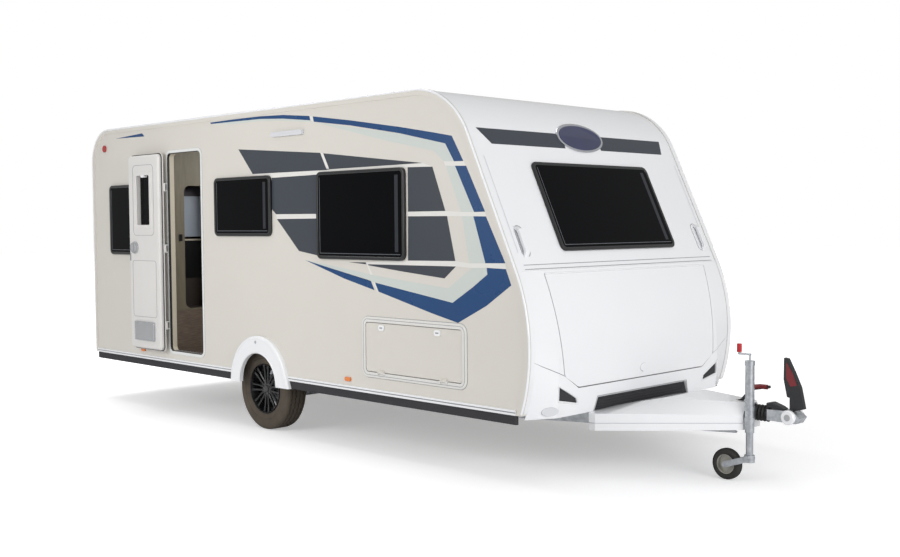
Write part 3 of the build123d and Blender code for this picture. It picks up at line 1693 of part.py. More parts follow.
# Friction pads' covers on the head's sides
with BuildPart() as pad_covers:
    for side in (-1, 1):
        with Locations(
            Plane(origin=(coupling_x, side * head_width / 2, coupling_height), z_dir=(0, side, 0))
        ):
            Cylinder(pad_radius, pad_length, align=(Align.CENTER, Align.CENTER, Align.MIN))
    for outer_face in (pad_covers.faces().sort_by(Axis.Y)[0], pad_covers.faces().sort_by(Axis.Y)[-1]):
        chamfer(outer_face.edges(), pad_length / 4)
save(pad_covers, "pad_covers")

# Bellows round the shaft
fold_pitch = bellows_length / bellows_folds
with BuildPart() as bellows:
    with BuildSketch(Plane.XZ):
        with BuildLine():
            points = [(housing_front_x + seat_gap, coupling_height + shaft_radius + seat_gap)]
            points.append((housing_front_x + seat_gap, coupling_height + bellows_root))
            for number in range(bellows_folds):
                fold_x = housing_front_x + number * fold_pitch
                points.append((fold_x + fold_pitch / 2, coupling_height + bellows_radius))
                if number < bellows_folds - 1:
                    points.append((fold_x + fold_pitch, coupling_height + bellows_root))
            points.append((head_rear_x - seat_gap, coupling_height + bellows_root))
            points.append((head_rear_x - seat_gap, coupling_height + shaft_radius + seat_gap))
            Polyline(*points, close=True)
        make_face()
    revolve(axis=Axis((0, 0, coupling_height), (1, 0, 0)))
save(bellows, "bellows")

# Stabiliser lever, coupling handle and handbrake, all resting on the hitch
brake_axis_z = coupling_height + body_block_height / 2 + brake_boss_radius
with BuildPart() as hitch_levers:
    with Locations(Plane(origin=(housing_rear_x + brake_foot, 0, brake_axis_z), z_dir=(0, 1, 0))):
        Cylinder(brake_boss_radius, 2 * brake_lever_width)
    with BuildSketch(side_plane(lever_width / 2)):
        with BuildLine():
            Polyline(
                *[
                    (coupling_x + x_share * lever_reach, coupling_height + z_share * lever_rise)
                    for x_share, z_share in lever_shares
                ],
                close=True,
            )
        make_face()
    extrude(amount=lever_width)
    with BuildSketch(side_plane(brake_lever_width / 2)):
        with BuildLine():
            Line(
                (housing_rear_x + brake_foot, brake_axis_z),
                (housing_rear_x + brake_knee, brake_knee_height),
            )
            Line(
                (housing_rear_x + brake_knee, brake_knee_height),
                (housing_rear_x + brake_tip, brake_tip_height),
            )
        trace(line_width=brake_lever_width)
    extrude(amount=brake_lever_width)
save(hitch_levers, "hitch_levers")

# Jockey wheel: clamp and outer tube, crank, inner tube, fork and wheel
jockey_x = coupling_x - jockey_back
jockey_wheel_x = jockey_x - jockey_trail
bracket_y = -body_block_width / 2 - seat_gap - bracket_sheet
clamp_reach = bracket_y - jockey_y
with BuildPart() as jockey_tube:
    with Locations((jockey_x + jockey_tube_radius / 2, bracket_y, coupling_height)):
        Box(
            bracket_length,
            bracket_sheet,
            bracket_height,
            align=(Align.MAX, Align.MIN, Align.CENTER),
        )
    with Locations((jockey_x, jockey_y, jockey_tube_low)):
        Cylinder(
            jockey_tube_radius,
            jockey_tube_top - jockey_tube_low,
            align=(Align.CENTER, Align.CENTER, Align.MIN),
        )
    for clamp_z in (coupling_height - clamp_rise, coupling_height + clamp_rise):
        with Locations((jockey_x, jockey_y, clamp_z)):
            Cylinder(jockey_tube_radius + sheet, clamp_height)
            Box(
                jockey_tube_radius,
                clamp_reach,
                clamp_height,
                align=(Align.CENTER, Align.MIN, Align.CENTER),
            )
    with Locations((jockey_x, jockey_y, jockey_tube_low)):
        Cylinder(
            jockey_inner_radius + pin_gap,
            jockey_tube_top - jockey_tube_low - sheet,
            align=(Align.CENTER, Align.CENTER, Align.MIN),
            mode=Mode.SUBTRACT,
        )
    with Locations((jockey_x, jockey_y, jockey_tube_top)):
        Cylinder(
            jockey_tube_radius + sheet,
            jockey_cap_height,
            align=(Align.CENTER, Align.CENTER, Align.MIN),
        )
        Cylinder(
            jockey_crank_radius,
            jockey_cap_height + jockey_crank_rise,
            align=(Align.CENTER, Align.CENTER, Align.MIN),
        )
    crank_z = jockey_tube_top + jockey_cap_height + jockey_crank_rise
    with Locations(Plane(origin=(jockey_x + jockey_crank_radius, jockey_y, crank_z), z_dir=(-1, 0, 0))):
        Cylinder(
            jockey_crank_radius,
            jockey_crank_reach + 2 * jockey_crank_radius,
            align=(Align.CENTER, Align.CENTER, Align.MIN),
        )
    with Locations((jockey_x - jockey_crank_reach, jockey_y, crank_z)):
        Cylinder(
            jockey_crank_radius,
            jockey_knob_length + jockey_knob_lift,
            align=(Align.CENTER, Align.CENTER, Align.MIN),
        )
save(jockey_tube, "jockey_tube")

with BuildPart() as jockey_knob:
    with Locations((jockey_x - jockey_crank_reach, jockey_y, crank_z + jockey_knob_lift)):
        Cylinder(
            jockey_knob_radius,
            jockey_knob_length + jockey_crank_radius,
            align=(Align.CENTER, Align.CENTER, Align.MIN),
        )
        Cylinder(
            jockey_crank_radius + pin_gap,
            jockey_knob_length,
            align=(Align.CENTER, Align.CENTER, Align.MIN),
            mode=Mode.SUBTRACT,
        )
save(jockey_knob, "jockey_knob")

with BuildPart() as jockey_leg:
    with Locations((jockey_x, jockey_y, jockey_inner_low)):
        Cylinder(
            jockey_inner_radius,
            jockey_inner_top - jockey_inner_low,
            align=(Align.CENTER, Align.CENTER, Align.MIN),
        )
        Cylinder(
            jockey_swivel_radius,
            jockey_swivel_length,
            align=(Align.CENTER, Align.CENTER, Align.MAX),
        )
save(jockey_leg, "jockey_leg")

fork_low = jockey_inner_low - swivel_gap - jockey_head_height
fork_inner = jockey_wheel_width / 2 + move_gap
with BuildPart() as jockey_fork:
    with Locations((jockey_x, jockey_y, fork_low)):
        Cylinder(
            jockey_tube_radius + sheet,
            jockey_head_height,
            align=(Align.CENTER, Align.CENTER, Align.MIN),
        )
    for side in (-1, 1):
        low_y = jockey_y + side * fork_inner
        with BuildSketch(side_plane(max(low_y, low_y + side * jockey_fork_sheet))):
            with BuildLine():
                Line((jockey_x, fork_low + jockey_head_height / 2), (jockey_wheel_x, jockey_wheel_radius))
            trace(line_width=jockey_fork_width)
            with Locations((jockey_wheel_x, jockey_wheel_radius), (jockey_x, fork_low + jockey_head_height / 2)):
                Circle(jockey_fork_width / 2)
        extrude(amount=jockey_fork_sheet)
    with Locations((jockey_x, jockey_y, fork_low + jockey_head_height / 2)):
        Box(jockey_fork_sheet * 2, 2 * fork_inner + jockey_fork_sheet, jockey_fork_width / 2)
    with Locations(Plane(origin=(jockey_wheel_x, jockey_y, jockey_wheel_radius), z_dir=(0, 1, 0))):
        Cylinder(jockey_axle_radius, 2 * fork_inner + 3 * jockey_fork_sheet)
    with Locations((jockey_x, jockey_y, fork_low + sheet)):
        Cylinder(
            jockey_swivel_radius + pin_gap,
            2 * jockey_head_height,
            align=(Align.CENTER, Align.CENTER, Align.MIN),
            mode=Mode.SUBTRACT,
        )
save(jockey_fork, "jockey_fork")

wheel_plane = Plane(origin=(jockey_wheel_x, jockey_y, jockey_wheel_radius), z_dir=(0, 1, 0))
with BuildPart() as jockey_tyre:
    with Locations(wheel_plane):
        Cylinder(jockey_wheel_radius, jockey_wheel_width)
        Cylinder(jockey_rim_radius, jockey_wheel_width, mode=Mode.SUBTRACT)
save(jockey_tyre, "jockey_tyre")

with BuildPart() as jockey_rim:
    with Locations(wheel_plane):
        Cylinder(jockey_rim_radius - pin_gap, jockey_wheel_width - sheet)
        Cylinder(jockey_rim_radius - sheet, jockey_wheel_width, mode=Mode.SUBTRACT)
        Cylinder(jockey_rim_radius - sheet / 2, jockey_fork_sheet)
        Cylinder(2 * jockey_axle_radius, jockey_wheel_width)
        Cylinder(jockey_axle_radius + pin_gap, 2 * jockey_wheel_width, mode=Mode.SUBTRACT)
save(jockey_rim, "jockey_rim")

# Furniture seen through the door and windows, on the floor or fixed under the roof
furniture_y = inner_y - furniture_gap
row_y = furniture_y - kitchen_depth
ceiling_z = roof_height - rail_width - furniture_gap
bench_top = bench_height + floor_top
locker_low_z = roof_height - shelf_locker_low_drop
locker_high_z = roof_height - shelf_locker_high_drop
kitchen_span = (along(kitchen_shares[0]), along(kitchen_shares[1]))
wardrobe_span = (along(wardrobe_shares[0]), along(wardrobe_shares[1]))
bed_span = (rear_x + rail_width + furniture_gap, along(bed_share))
bench_span = (along(bench_share), bulkhead_x - furniture_gap)
locker_span = (along(bench_share), along(shelf_locker_share))
galley_span = (door_x - galley_rear_inset, door_x - galley_front_inset)
with BuildPart() as furniture:
    # Columns: span along the body, lowest and highest Y, lowest and highest Z
    for span, y_low, y_high, z_low, z_high in (
        (kitchen_span, row_y, furniture_y, floor_top, kitchen_height),
        (bed_span, row_y, furniture_y, floor_top, bench_top),
        (bench_span, row_y, furniture_y, floor_top, bench_top),
        (bench_span, -furniture_y, -row_y, floor_top, bench_top),
        (wardrobe_span, row_y, furniture_y, floor_top, ceiling_z),
        (galley_span, -furniture_y, -galley_inner, floor_top, ceiling_z),
        (locker_span, inner_y - shelf_locker_depth, inner_y, locker_low_z, locker_high_z),
        (locker_span, -inner_y, shelf_locker_depth - inner_y, locker_low_z, locker_high_z),
    ):
        with Locations(((span[0] + span[1]) / 2, (y_low + y_high) / 2, z_low)):
            Box(
                span[1] - span[0],
                y_high - y_low,
                z_high - z_low,
                align=(Align.CENTER, Align.CENTER, Align.MIN),
            )
            Box(
                span[1] - span[0] - 2 * locker_board,
                y_high - y_low - 2 * locker_board,
                z_high - z_low - locker_board,
                align=(Align.CENTER, Align.CENTER, Align.MIN),
                mode=Mode.SUBTRACT,
            )
    with BuildSketch(Plane.YZ.offset(galley_span[1] - 2 * locker_board)):
        with Locations((-(niche_outer + niche_inner) / 2, (niche_low + niche_high) / 2)):
            RectangleRounded(niche_outer - niche_inner, niche_high - niche_low, niche_corner)
    extrude(amount=3 * locker_board, mode=Mode.SUBTRACT)
    with Locations((wheel_box_x, inner_y, floor_height)):
        Box(
            wheel_box_length + 2 * furniture_gap,
            2 * wheel_box_width + 2 * furniture_gap,
            wheel_box_height + furniture_gap,
            align=(Align.CENTER, Align.CENTER, Align.MIN),
            mode=Mode.SUBTRACT,
        )
save(furniture, "furniture")

with BuildPart() as cushions:
    for span, y_low, y_high in (
        (bed_span, row_y, furniture_y),
        (bench_span, row_y, furniture_y),
        (bench_span, -furniture_y, -row_y),
    ):
        with Locations(((span[0] + span[1]) / 2, (y_low + y_high) / 2, bench_top)):
            Box(
                span[1] - span[0],
                y_high - y_low,
                cushion_height,
                align=(Align.CENTER, Align.CENTER, Align.MIN),
            )
save(cushions, "cushions")
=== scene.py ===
"""Travel caravan: materials, livery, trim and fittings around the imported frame.

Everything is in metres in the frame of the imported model: +X to the hitch, +Y to the
left side, +Z up, and the ground at zero.
"""
import json
import math

import bmesh
import bpy
from mathutils import Matrix, Vector


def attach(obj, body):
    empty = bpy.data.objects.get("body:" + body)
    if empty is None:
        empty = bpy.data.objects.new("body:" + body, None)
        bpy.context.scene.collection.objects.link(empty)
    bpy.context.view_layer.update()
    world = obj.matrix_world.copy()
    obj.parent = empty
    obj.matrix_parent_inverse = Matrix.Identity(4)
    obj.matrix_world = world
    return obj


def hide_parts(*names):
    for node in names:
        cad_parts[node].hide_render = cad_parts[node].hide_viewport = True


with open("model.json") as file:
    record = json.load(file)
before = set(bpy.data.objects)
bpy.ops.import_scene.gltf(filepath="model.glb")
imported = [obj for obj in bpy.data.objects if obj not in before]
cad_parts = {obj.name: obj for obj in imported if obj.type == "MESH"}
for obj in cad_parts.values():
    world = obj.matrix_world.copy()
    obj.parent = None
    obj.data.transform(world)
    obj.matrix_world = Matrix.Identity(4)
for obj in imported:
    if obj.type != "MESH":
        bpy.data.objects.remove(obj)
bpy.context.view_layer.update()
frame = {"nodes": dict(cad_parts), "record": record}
nodes = frame["nodes"]

# Places in the frame that the trim is set against
SIDE_Y = 1.15
REAR_X = -3.376
BODY_LENGTH = 5.51
SKIRT_Z = 0.38
BODY_HEIGHT = 2.15
ROOF_Z = 2.53
TAIL_RADIUS = 0.30
NOSE_CENTRE = (0.934, 0.842)
NOSE_RADIUS = 1.2
LEAN = math.radians(25.1)
BROW_CENTRE = (1.11869, 1.98)
BROW_RADIUS = 0.55
LID_RADIUS = 1.9
LID_CENTRE = (0.27, 0.65)
DECAL = 0.0005
AXLE_X = -0.74
WHEEL_Z = 0.327
ARCH_X = -0.69
ARCH_Z = 0.384
DOOR_X = -2.026
DOOR_WIDTH = 0.524
DOOR_LOW = 0.543
DOOR_HIGH = 2.262
DOOR_CORNER = 0.042
LEAF_FACE_Y = -1.242
GALLEY_X = -2.06
SIDES = (("right", -1), ("left", 1))
RAIL_RETURN = 0.044
RAIL_LOW = 0.45
BALL = (3.27, 0.435)
BENCH_TOP = 0.92


def linear(value):
    """One sRGB channel, 0 to 255, as a linear number."""
    share = value / 255
    return share / 12.92 if share <= 0.04045 else ((share + 0.055) / 1.055) ** 2.4


def rgb(red, green, blue):
    """An sRGB colour as Blender's linear colour."""
    return (linear(red), linear(green), linear(blue), 1.0)


def along(share):
    """X of a share of the body's length, from the rear wall."""
    return REAR_X + share * BODY_LENGTH


def up(share):
    """Z of a share of the body's height, from the skirt's lower edge."""
    return SKIRT_Z + share * BODY_HEIGHT


def front_x(z, out=0.0):
    """X of the front's face at a height: nose arc, leaning straight and brow arc."""
    nose = NOSE_RADIUS + out
    top = NOSE_CENTRE[1] + nose * math.sin(LEAN)
    brow = BROW_RADIUS + out
    brow_low = BROW_CENTRE[1] + brow * math.sin(LEAN)
    if z <= top:
        return NOSE_CENTRE[0] + math.sqrt(nose**2 - (z - NOSE_CENTRE[1]) ** 2)
    if z >= brow_low:
        return BROW_CENTRE[0] + math.sqrt(max(brow**2 - (z - BROW_CENTRE[1]) ** 2, 0.0))
    return NOSE_CENTRE[0] + nose * math.cos(LEAN) - (z - top) * math.tan(LEAN)


def lid_x(z, out=0.0):
    """X of the fuller arc that the locker lid and the bumper follow."""
    return LID_CENTRE[0] + math.sqrt((LID_RADIUS + out) ** 2 - (z - LID_CENTRE[1]) ** 2)


# Materials
LOOKS = {}
WHITE = (1.0, 1.0, 1.0, 1.0)
COAT_ROUGHNESS = 0.05
TINT_SHARE = 0.86
NOISE_LOW, NOISE_HIGH = 0.3, 0.7
BUMP_HEIGHT = 0.001
BEVEL_ANGLE = math.radians(32)


def fill(made, **values):
    """Set a shader node's inputs by name, with an underscore for each space."""
    for name, value in values.items():
        made.inputs[name.replace("_", " ")].default_value = value
    return made


def node(tree, kind, **values):
    """New shader node with values for its inputs."""
    return fill(tree.nodes.new(f"ShaderNode{kind}"), **values)


def link(start, output, end, entry):
    """Join a shader node's output to another one's input."""
    start.id_data.links.new(start.outputs[output], end.inputs[entry])


def material(name, colour, roughness, metallic=0.0, coat=0.0, tint=None, scale=6.0, amount=0.25,
             bump=0.0, bump_scale=180.0, stretch=(1, 1, 1), rough_spread=0.05, specular=0.5):
    """Principled material whose colour, roughness and bump vary with noise in object space."""
    made = bpy.data.materials.new(name)
    made.use_nodes = True
    tree = made.node_tree
    base = rgb(*colour)
    other = rgb(*tint) if tint else tuple(c * TINT_SHARE for c in base[:3]) + (1.0,)
    shader = fill(tree.nodes["Principled BSDF"], Metallic=metallic, Coat_Weight=coat,
                  Coat_Roughness=COAT_ROUGHNESS, Specular_IOR_Level=specular)
    mapping = node(tree, "Mapping", Scale=stretch)
    link(node(tree, "TexCoord"), "Object", mapping, "Vector")
    noise = node(tree, "TexNoise", Scale=scale, Detail=5.0)
    link(mapping, "Vector", noise, "Vector")
    spread = node(tree, "MapRange", From_Min=NOISE_LOW, From_Max=NOISE_HIGH, To_Max=amount)
    link(noise, "Fac", spread, "Value")
    mix = node(tree, "Mix")
    mix.data_type = "RGBA"
    mix.inputs["A"].default_value = base
    mix.inputs["B"].default_value = other
    link(spread, "Result", mix, "Factor")
    link(mix, "Result", shader, "Base Color")
    rough = node(tree, "MapRange", To_Min=max(roughness - rough_spread, 0.02),
                 To_Max=roughness + rough_spread)
    link(noise, "Fac", rough, "Value")
    link(rough, "Result", shader, "Roughness")
    if bump:
        fine = node(tree, "TexNoise", Scale=bump_scale, Detail=3.0)
        link(mapping, "Vector", fine, "Vector")
        lift = node(tree, "Bump", Strength=bump, Distance=BUMP_HEIGHT)
        link(fine, "Fac", lift, "Height")
        link(lift, "Normal", shader, "Normal")
    LOOKS[name] = made


material("side_skin", (216, 212, 204), 0.32, coat=0.3, tint=(208, 204, 196), scale=1.3, bump=0.03)
material("gloss_white", (238, 239, 241), 0.2, coat=0.5, tint=(232, 233, 236), scale=2.0, bump=0.02,
         bump_scale=40)
material("frame_grey", (226, 228, 226), 0.4, bump=0.05)
material("door_moulding", (221, 219, 216), 0.35, bump=0.05)
material("hatch_grey", (224, 223, 219), 0.35, bump=0.04)
material("skirt_dark", (62, 62, 65), 0.6, specular=0.1, bump=0.1, bump_scale=400)
material("tinted_acrylic", (7, 8, 10), 0.1, amount=0.4, scale=3, specular=0.06)
material("smoked_dome", (60, 62, 66), 0.12, coat=0.5)
material("board", (128, 116, 100), 0.5, stretch=(1, 8, 8), scale=9, tint=(96, 86, 74), amount=0.7)
material("upholstery", (120, 116, 110), 0.9, bump=0.4, bump_scale=900)
material("fitting_silver", (176, 178, 180), 0.35, metallic=0.4, bump=0.03)
material("amber_lens", (228, 120, 20), 0.15, coat=0.6)
material("red_lens", (170, 20, 22), 0.15, coat=0.6)
material("clear_lens", (214, 216, 220), 0.12, coat=0.6)
material("galvanised", (198, 201, 205), 0.34, metallic=0.8, tint=(158, 163, 168), scale=34,
         amount=0.9, bump=0.08, bump_scale=90, rough_spread=0.14)
material("lever_black", (30, 31, 34), 0.42, bump=0.08, bump_scale=300)
material("bellows_rubber", (20, 20, 21), 0.65, bump=0.15, bump_scale=260)
material("knob_red", (178, 24, 32), 0.35, bump=0.04)
material("tyre", (74, 66, 57), 0.82, tint=(94, 85, 73), scale=14, amount=0.6, bump=0.25,
         bump_scale=320)
material("jockey_black", (38, 37, 35), 0.7, tint=(52, 50, 47), scale=14, bump=0.2, bump_scale=320)
material("black_alloy", (16, 17, 19), 0.28, coat=0.4, tint=(30, 30, 32), scale=20)
material("rim_grey", (168, 166, 158), 0.4, metallic=0.3, bump=0.05)
material("graphite_vinyl", (66, 71, 78), 0.3, tint=(62, 67, 74), scale=2.5, specular=0.25)
material("blue_vinyl", (38, 74, 120), 0.28, tint=(34, 66, 110), scale=2.5, specular=0.25)
material("gap_vinyl", (228, 226, 221), 0.32, coat=0.3, scale=2.5)
# Painted shade along creases
material("painted_crease_shade", (200, 203, 208), 0.4)
material("pale_vinyl", (203, 209, 204), 0.3, coat=0.2, tint=(196, 202, 198), scale=2.5)
material("white_vinyl", (240, 241, 242), 0.3, coat=0.2, scale=2.5)
material("navy_enamel", (24, 34, 84), 0.12, coat=0.8, tint=(14, 22, 62), scale=5, amount=0.7)
material("silver_trim", (206, 208, 212), 0.22, metallic=0.9, bump=0.02)
material("black_trim", (20, 21, 23), 0.3, coat=0.3, bump=0.04)
material("seal_rubber", (24, 24, 25), 0.6, bump=0.1)
material("shade_grey", (168, 170, 172), 0.4, bump=0.03)
# Painted highlights on the window panes
material("glass_line", (92, 95, 100), 0.35, specular=0.2)
material("glass_shine", (48, 51, 56), 0.25, specular=0.2)
material("liner_beige", (196, 187, 168), 0.6, bump=0.1)
material("partition_olive", (120, 113, 94), 0.55, stretch=(8, 8, 1), scale=5, tint=(102, 94, 77),
         amount=0.6)
material("front_taupe", (122, 108, 96), 0.5, stretch=(3, 3, 22), scale=5, tint=(92, 80, 70),
         amount=0.8)
# Niche colours: the blue is made paler to stand in for light, the purple is painted shade
material("niche_blue", (160, 170, 182), 0.5, bump=0.05)
material("niche_purple", (62, 58, 66), 0.6, bump=0.05)
material("niche_brown", (52, 43, 37), 0.6, bump=0.05)
material("lever_red", (120, 26, 32), 0.4, bump=0.05)
# Bolt metal, also used as a painted glint along the rim's edge
material("alloy_edge", (84, 86, 90), 0.25, metallic=0.8)
# Joints, and painted shade in grooves, slots, notches and along reliefs
material("seam_grey", (140, 142, 146), 0.5)
material("piping", (78, 74, 70), 0.9, bump=0.4, bump_scale=900)

for row in frame["record"]["subparts"]:
    shown = nodes[row["node"]]
    shown.data.materials.clear()
    shown.data.materials.append(LOOKS[row["material_slot"]])
nodes["corner_rails"].data.materials[0] = LOOKS["side_skin"]


# Mesh helpers


def piece(name, verts, faces, look, body="body", smooth=False, bevel=0.0, segments=2, slot=None):
    """A mesh in the row frame with a material, riding on a body."""
    mesh = bpy.data.meshes.new(name)
    mesh.from_pydata([tuple(v) for v in verts], [], faces)
    mesh.validate()
    made = bpy.data.objects.new(name, mesh)
    bpy.context.scene.collection.objects.link(made)
    return dress(made, look, body, smooth, bevel, segments)


def dress(made, look, body, smooth, bevel=0.0, segments=2):
    """Material, outward normals, bevel and body for a finished mesh object."""
    shell = bmesh.new()
    shell.from_mesh(made.data)
    bmesh.ops.recalc_face_normals(shell, faces=shell.faces)
    shell.to_mesh(made.data)
    shell.free()
    made.data.materials.append(LOOKS[look])
    if smooth:
        for face in made.data.polygons:
            face.use_smooth = True
    if bevel:
        edge = made.modifiers.new("edge", "BEVEL")
        edge.width = bevel
        edge.segments = segments
        edge.limit_method = "ANGLE"
        edge.angle_limit = BEVEL_ANGLE
        edge.harden_normals = False
    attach(made, body)
    return made


def prism(outline, low, high, place):
    """Vertices and faces of an outline extruded from low to high; place maps (u, v, w)."""
    count = len(outline)
    verts = [place(u, v, low) for u, v in outline] + [place(u, v, high) for u, v in outline]
    faces = [list(range(count))[::-1], list(range(count, 2 * count))]
    faces += [[i, (i + 1) % count, count + (i + 1) % count, count + i] for i in range(count)]
    return verts, faces


def on_side(side):
    """Mapping from (x, z, out) to the row frame on a side wall's skin."""
    return lambda u, v, w: (u, side * (SIDE_Y + w), v)


def on_rear(u, v, w):
    """Mapping from (y, z, out) to the row frame on the rear wall."""
    return (REAR_X - w, u, v)


def across(u, v, w):
    """Mapping from (x, z, y) to the row frame."""
    return (u, w, v)


def round_rect(mid_u, mid_v, width, height, radius, steps=6):
    """Rounded rectangle as a list of points, counter-clockwise."""
    points = []
    for turn, (su, sv) in enumerate(((1, 1), (-1, 1), (-1, -1), (1, -1))):
        centre = (mid_u + su * (width / 2 - radius), mid_v + sv * (height / 2 - radius))
        for step in range(steps + 1):
            angle = math.radians(90 * (turn + step / steps))
            points.append((centre[0] + radius * math.cos(angle),
                           centre[1] + radius * math.sin(angle)))
    return points


def ring(outer, inner, low, high, place):
    """Closed frame between two outlines with the same number of points."""
    count = len(outer)
    verts = []
    for outline in (outer, inner):
        for level in (low, high):
            verts += [place(u, v, level) for u, v in outline]
    faces = []
    for i in range(count):
        j = (i + 1) % count
        faces.append([count + i, count + j, 3 * count + j, 3 * count + i])
        faces.append([i, j, count + j, count + i])
        faces.append([2 * count + i, 3 * count + i, 3 * count + j, 2 * count + j])
        faces.append([i, 2 * count + i, 2 * count + j, j])
    return verts, faces


def border(name, mid, size, width, corners, depths, place, look, body="body", steps=6, **dressing):
    """Piece between two rounded rectangles; corners are the radii of the outer and inner one."""
    outer = round_rect(*mid, *size, corners[0], steps=steps)
    inner = round_rect(*mid, size[0] - 2 * width, size[1] - 2 * width, corners[1], steps=steps)
    piece(name, *ring(outer, inner, *depths, place), look, body, **dressing)


def plate(name, mid, size, corner, depths, place, look, body="body", **dressing):
    """Piece with the outline of a rounded rectangle."""
    piece(name, *prism(round_rect(*mid, *size, corner), *depths, place), look, body, **dressing)


# Livery on the side walls: vinyl panels (x, z), each named after its colour. The ones in the gaps
# are thinner and show between the others
LIVERY = {
    "gap_blue": [(1.4, 2.041), (1.495, 2.037), (1.58, 2.035), (1.604, 2.004), (1.504, 2.008),
                 (1.415, 2.012)],
    "gap_head": [(-0.751, 2.037), (0.188, 2.041), (1.2, 2.039), (1.293, 2.011), (1.052, 2.017),
                 (0.065, 2.003), (-0.498, 1.998)],
    "gap_middle": [(-0.45, 1.717), (0.059, 1.714), (1.052, 1.717), (1.412, 1.717), (1.556, 1.709),
                   (1.769, 1.708), (1.777, 1.678), (1.666, 1.68), (1.565, 1.681), (1.427, 1.684),
                   (1.052, 1.686), (0.058, 1.68), (-0.439, 1.68)],
    "gap_low": [(1.047, 1.386), (1.501, 1.391), (1.628, 1.379), (1.769, 1.382), (1.94, 1.385),
                (1.944, 1.349), (1.78, 1.353), (1.651, 1.35), (1.497, 1.356), (0.629, 1.353),
                (0.607, 1.366)],
    "gap_tail": [(0.107, 2.161), (0.142, 2.156), (0.211, 2.036), (0.182, 2.032)],
    "gap_top": [(-0.016, 2.439), (0.024, 2.433), (0.035, 2.393), (-0.005, 2.406)],
    "gap_foot": [(0.607, 1.366), (0.629, 1.353), (0.76, 1.16), (0.722, 1.166)],
    "blue_line": [(-1.345, 2.481), (-1.006, 2.484), (-0.64, 2.482), (-0.337, 2.47), (-0.016, 2.439),
                  (-0.005, 2.406), (-0.337, 2.442), (-0.641, 2.461), (-1.007, 2.466),
                  (-1.33, 2.469)],
    "blue_top": [(0.024, 2.433), (0.452, 2.374), (0.98, 2.292), (1.305, 2.235), (1.476, 2.203),
                 (1.58, 2.035), (1.495, 2.037), (1.414, 2.157), (0.979, 2.249), (0.452, 2.338),
                 (0.035, 2.393)],
    "blue_upper": [(1.504, 2.008), (1.604, 2.004), (1.769, 1.708), (1.672, 1.707)],
    "blue_middle": [(1.666, 1.68), (1.777, 1.678), (1.94, 1.385), (1.769, 1.382)],
    "blue_low": [(0.705, 1.226), (1.473, 1.118), (1.66, 1.228), (1.786, 1.311), (1.78, 1.353),
                 (1.944, 1.349), (1.989, 1.249), (1.775, 1.111), (1.521, 0.989), (1.278, 1.039),
                 (0.74, 1.164)],
    "blue_tip": [(-0.091, 1.37), (0.282, 1.304), (0.66, 1.237), (0.698, 1.172), (0.364, 1.245)],
    "blue_rear": [(-2.925, 2.442), (-2.444, 2.462), (-2.404, 2.432)],
    "graphite_head": [(-0.943, 2.241), (0.107, 2.161), (0.182, 2.032), (-0.751, 2.037)],
    "graphite_tail": [(0.142, 2.156), (1.2, 2.039), (0.211, 2.036)],
    "graphite_between": [(-0.498, 1.998), (0.065, 2.003), (0.059, 1.714), (-0.45, 1.717),
                         (-0.504, 1.76)],
    "graphite_below": [(-0.439, 1.68), (0.058, 1.68), (0.058, 1.407), (-0.165, 1.437)],
    "graphite_right_middle": [(1.052, 2.017), (1.293, 2.011), (1.412, 1.717), (1.052, 1.717)],
    "graphite_right_low": [(1.052, 1.686), (1.427, 1.684), (1.501, 1.391), (1.047, 1.386)],
    "graphite_foot": [(0.629, 1.353), (1.505, 1.356), (1.399, 1.275), (0.993, 1.31),
                      (0.638, 1.345)],
    "graphite_tip": [(0.416, 1.363), (0.607, 1.366), (0.613, 1.352)],
    "pale_line": [(-1.33, 2.469), (-1.007, 2.466), (-0.641, 2.461), (-0.337, 2.442),
                  (-0.005, 2.406), (0.003, 2.391), (-0.338, 2.427), (-0.641, 2.445),
                  (-1.007, 2.447)],
    "pale_top": [(0.051, 2.387), (0.979, 2.247), (1.414, 2.157), (1.495, 2.037), (1.403, 2.041),
                 (1.304, 2.115), (0.842, 2.207)],
    "pale_upper": [(1.421, 2.012), (1.504, 2.008), (1.672, 1.707), (1.556, 1.709)],
    "pale_middle": [(1.565, 1.681), (1.666, 1.68), (1.769, 1.382), (1.628, 1.379)],
    "pale_low": [(1.651, 1.35), (1.777, 1.353), (1.786, 1.311), (1.473, 1.118), (0.705, 1.226),
                 (0.655, 1.235), (-0.091, 1.37), (0.316, 1.326), (0.656, 1.281), (0.992, 1.25),
                 (1.433, 1.211)],
}
for word, side in SIDES:
    for name, outline in LIVERY.items():
        colour = name.split("_")[0]
        thick = DECAL / 2 if colour == "gap" else DECAL
        panel = prism(outline, 0.0, thick, on_side(side))
        piece(f"livery_{word}_{name}", *panel, f"{colour}_vinyl", slot="side_skin")

# Front stripe: two graphite bands that follow the leaning front, one on each side of the plaque


def front_band(name, corners, look, rows=10, steps=40):
    """Band over the front; corners (y, z) are low start, low end, high end and high start."""
    verts, faces = [], []
    for row in range(rows + 1):
        for step in range(steps + 1):
            s, t = step / steps, row / rows
            low = Vector(corners[0]).lerp(Vector(corners[1]), s)
            high = Vector(corners[3]).lerp(Vector(corners[2]), s)
            y, z = low.lerp(high, t)
            verts.append((front_x(z, DECAL), y, z))
    for row in range(rows):
        for step in range(steps):
            a = row * (steps + 1) + step
            faces.append([a, a + 1, a + steps + 2, a + steps + 1])
    piece(name, verts, faces, look, smooth=True, slot="gloss_white")


for name, corners in (
    ("front_stripe_right", [(-0.954, 2.151), (-0.2, 2.151), (-0.2, 2.255), (-1.053, 2.255)]),
    ("front_stripe_left", [(0.2, 2.151), (0.954, 2.151), (0.99, 2.255), (0.2, 2.255)]),
):
    front_band(name, corners, "graphite_vinyl")

# Blank oval plaque in the middle of the stripe
OVAL_Z = 2.235
OVAL_STEPS = 64
OVAL_DOME = 0.002
OVAL_TOP_SHARE = 0.97


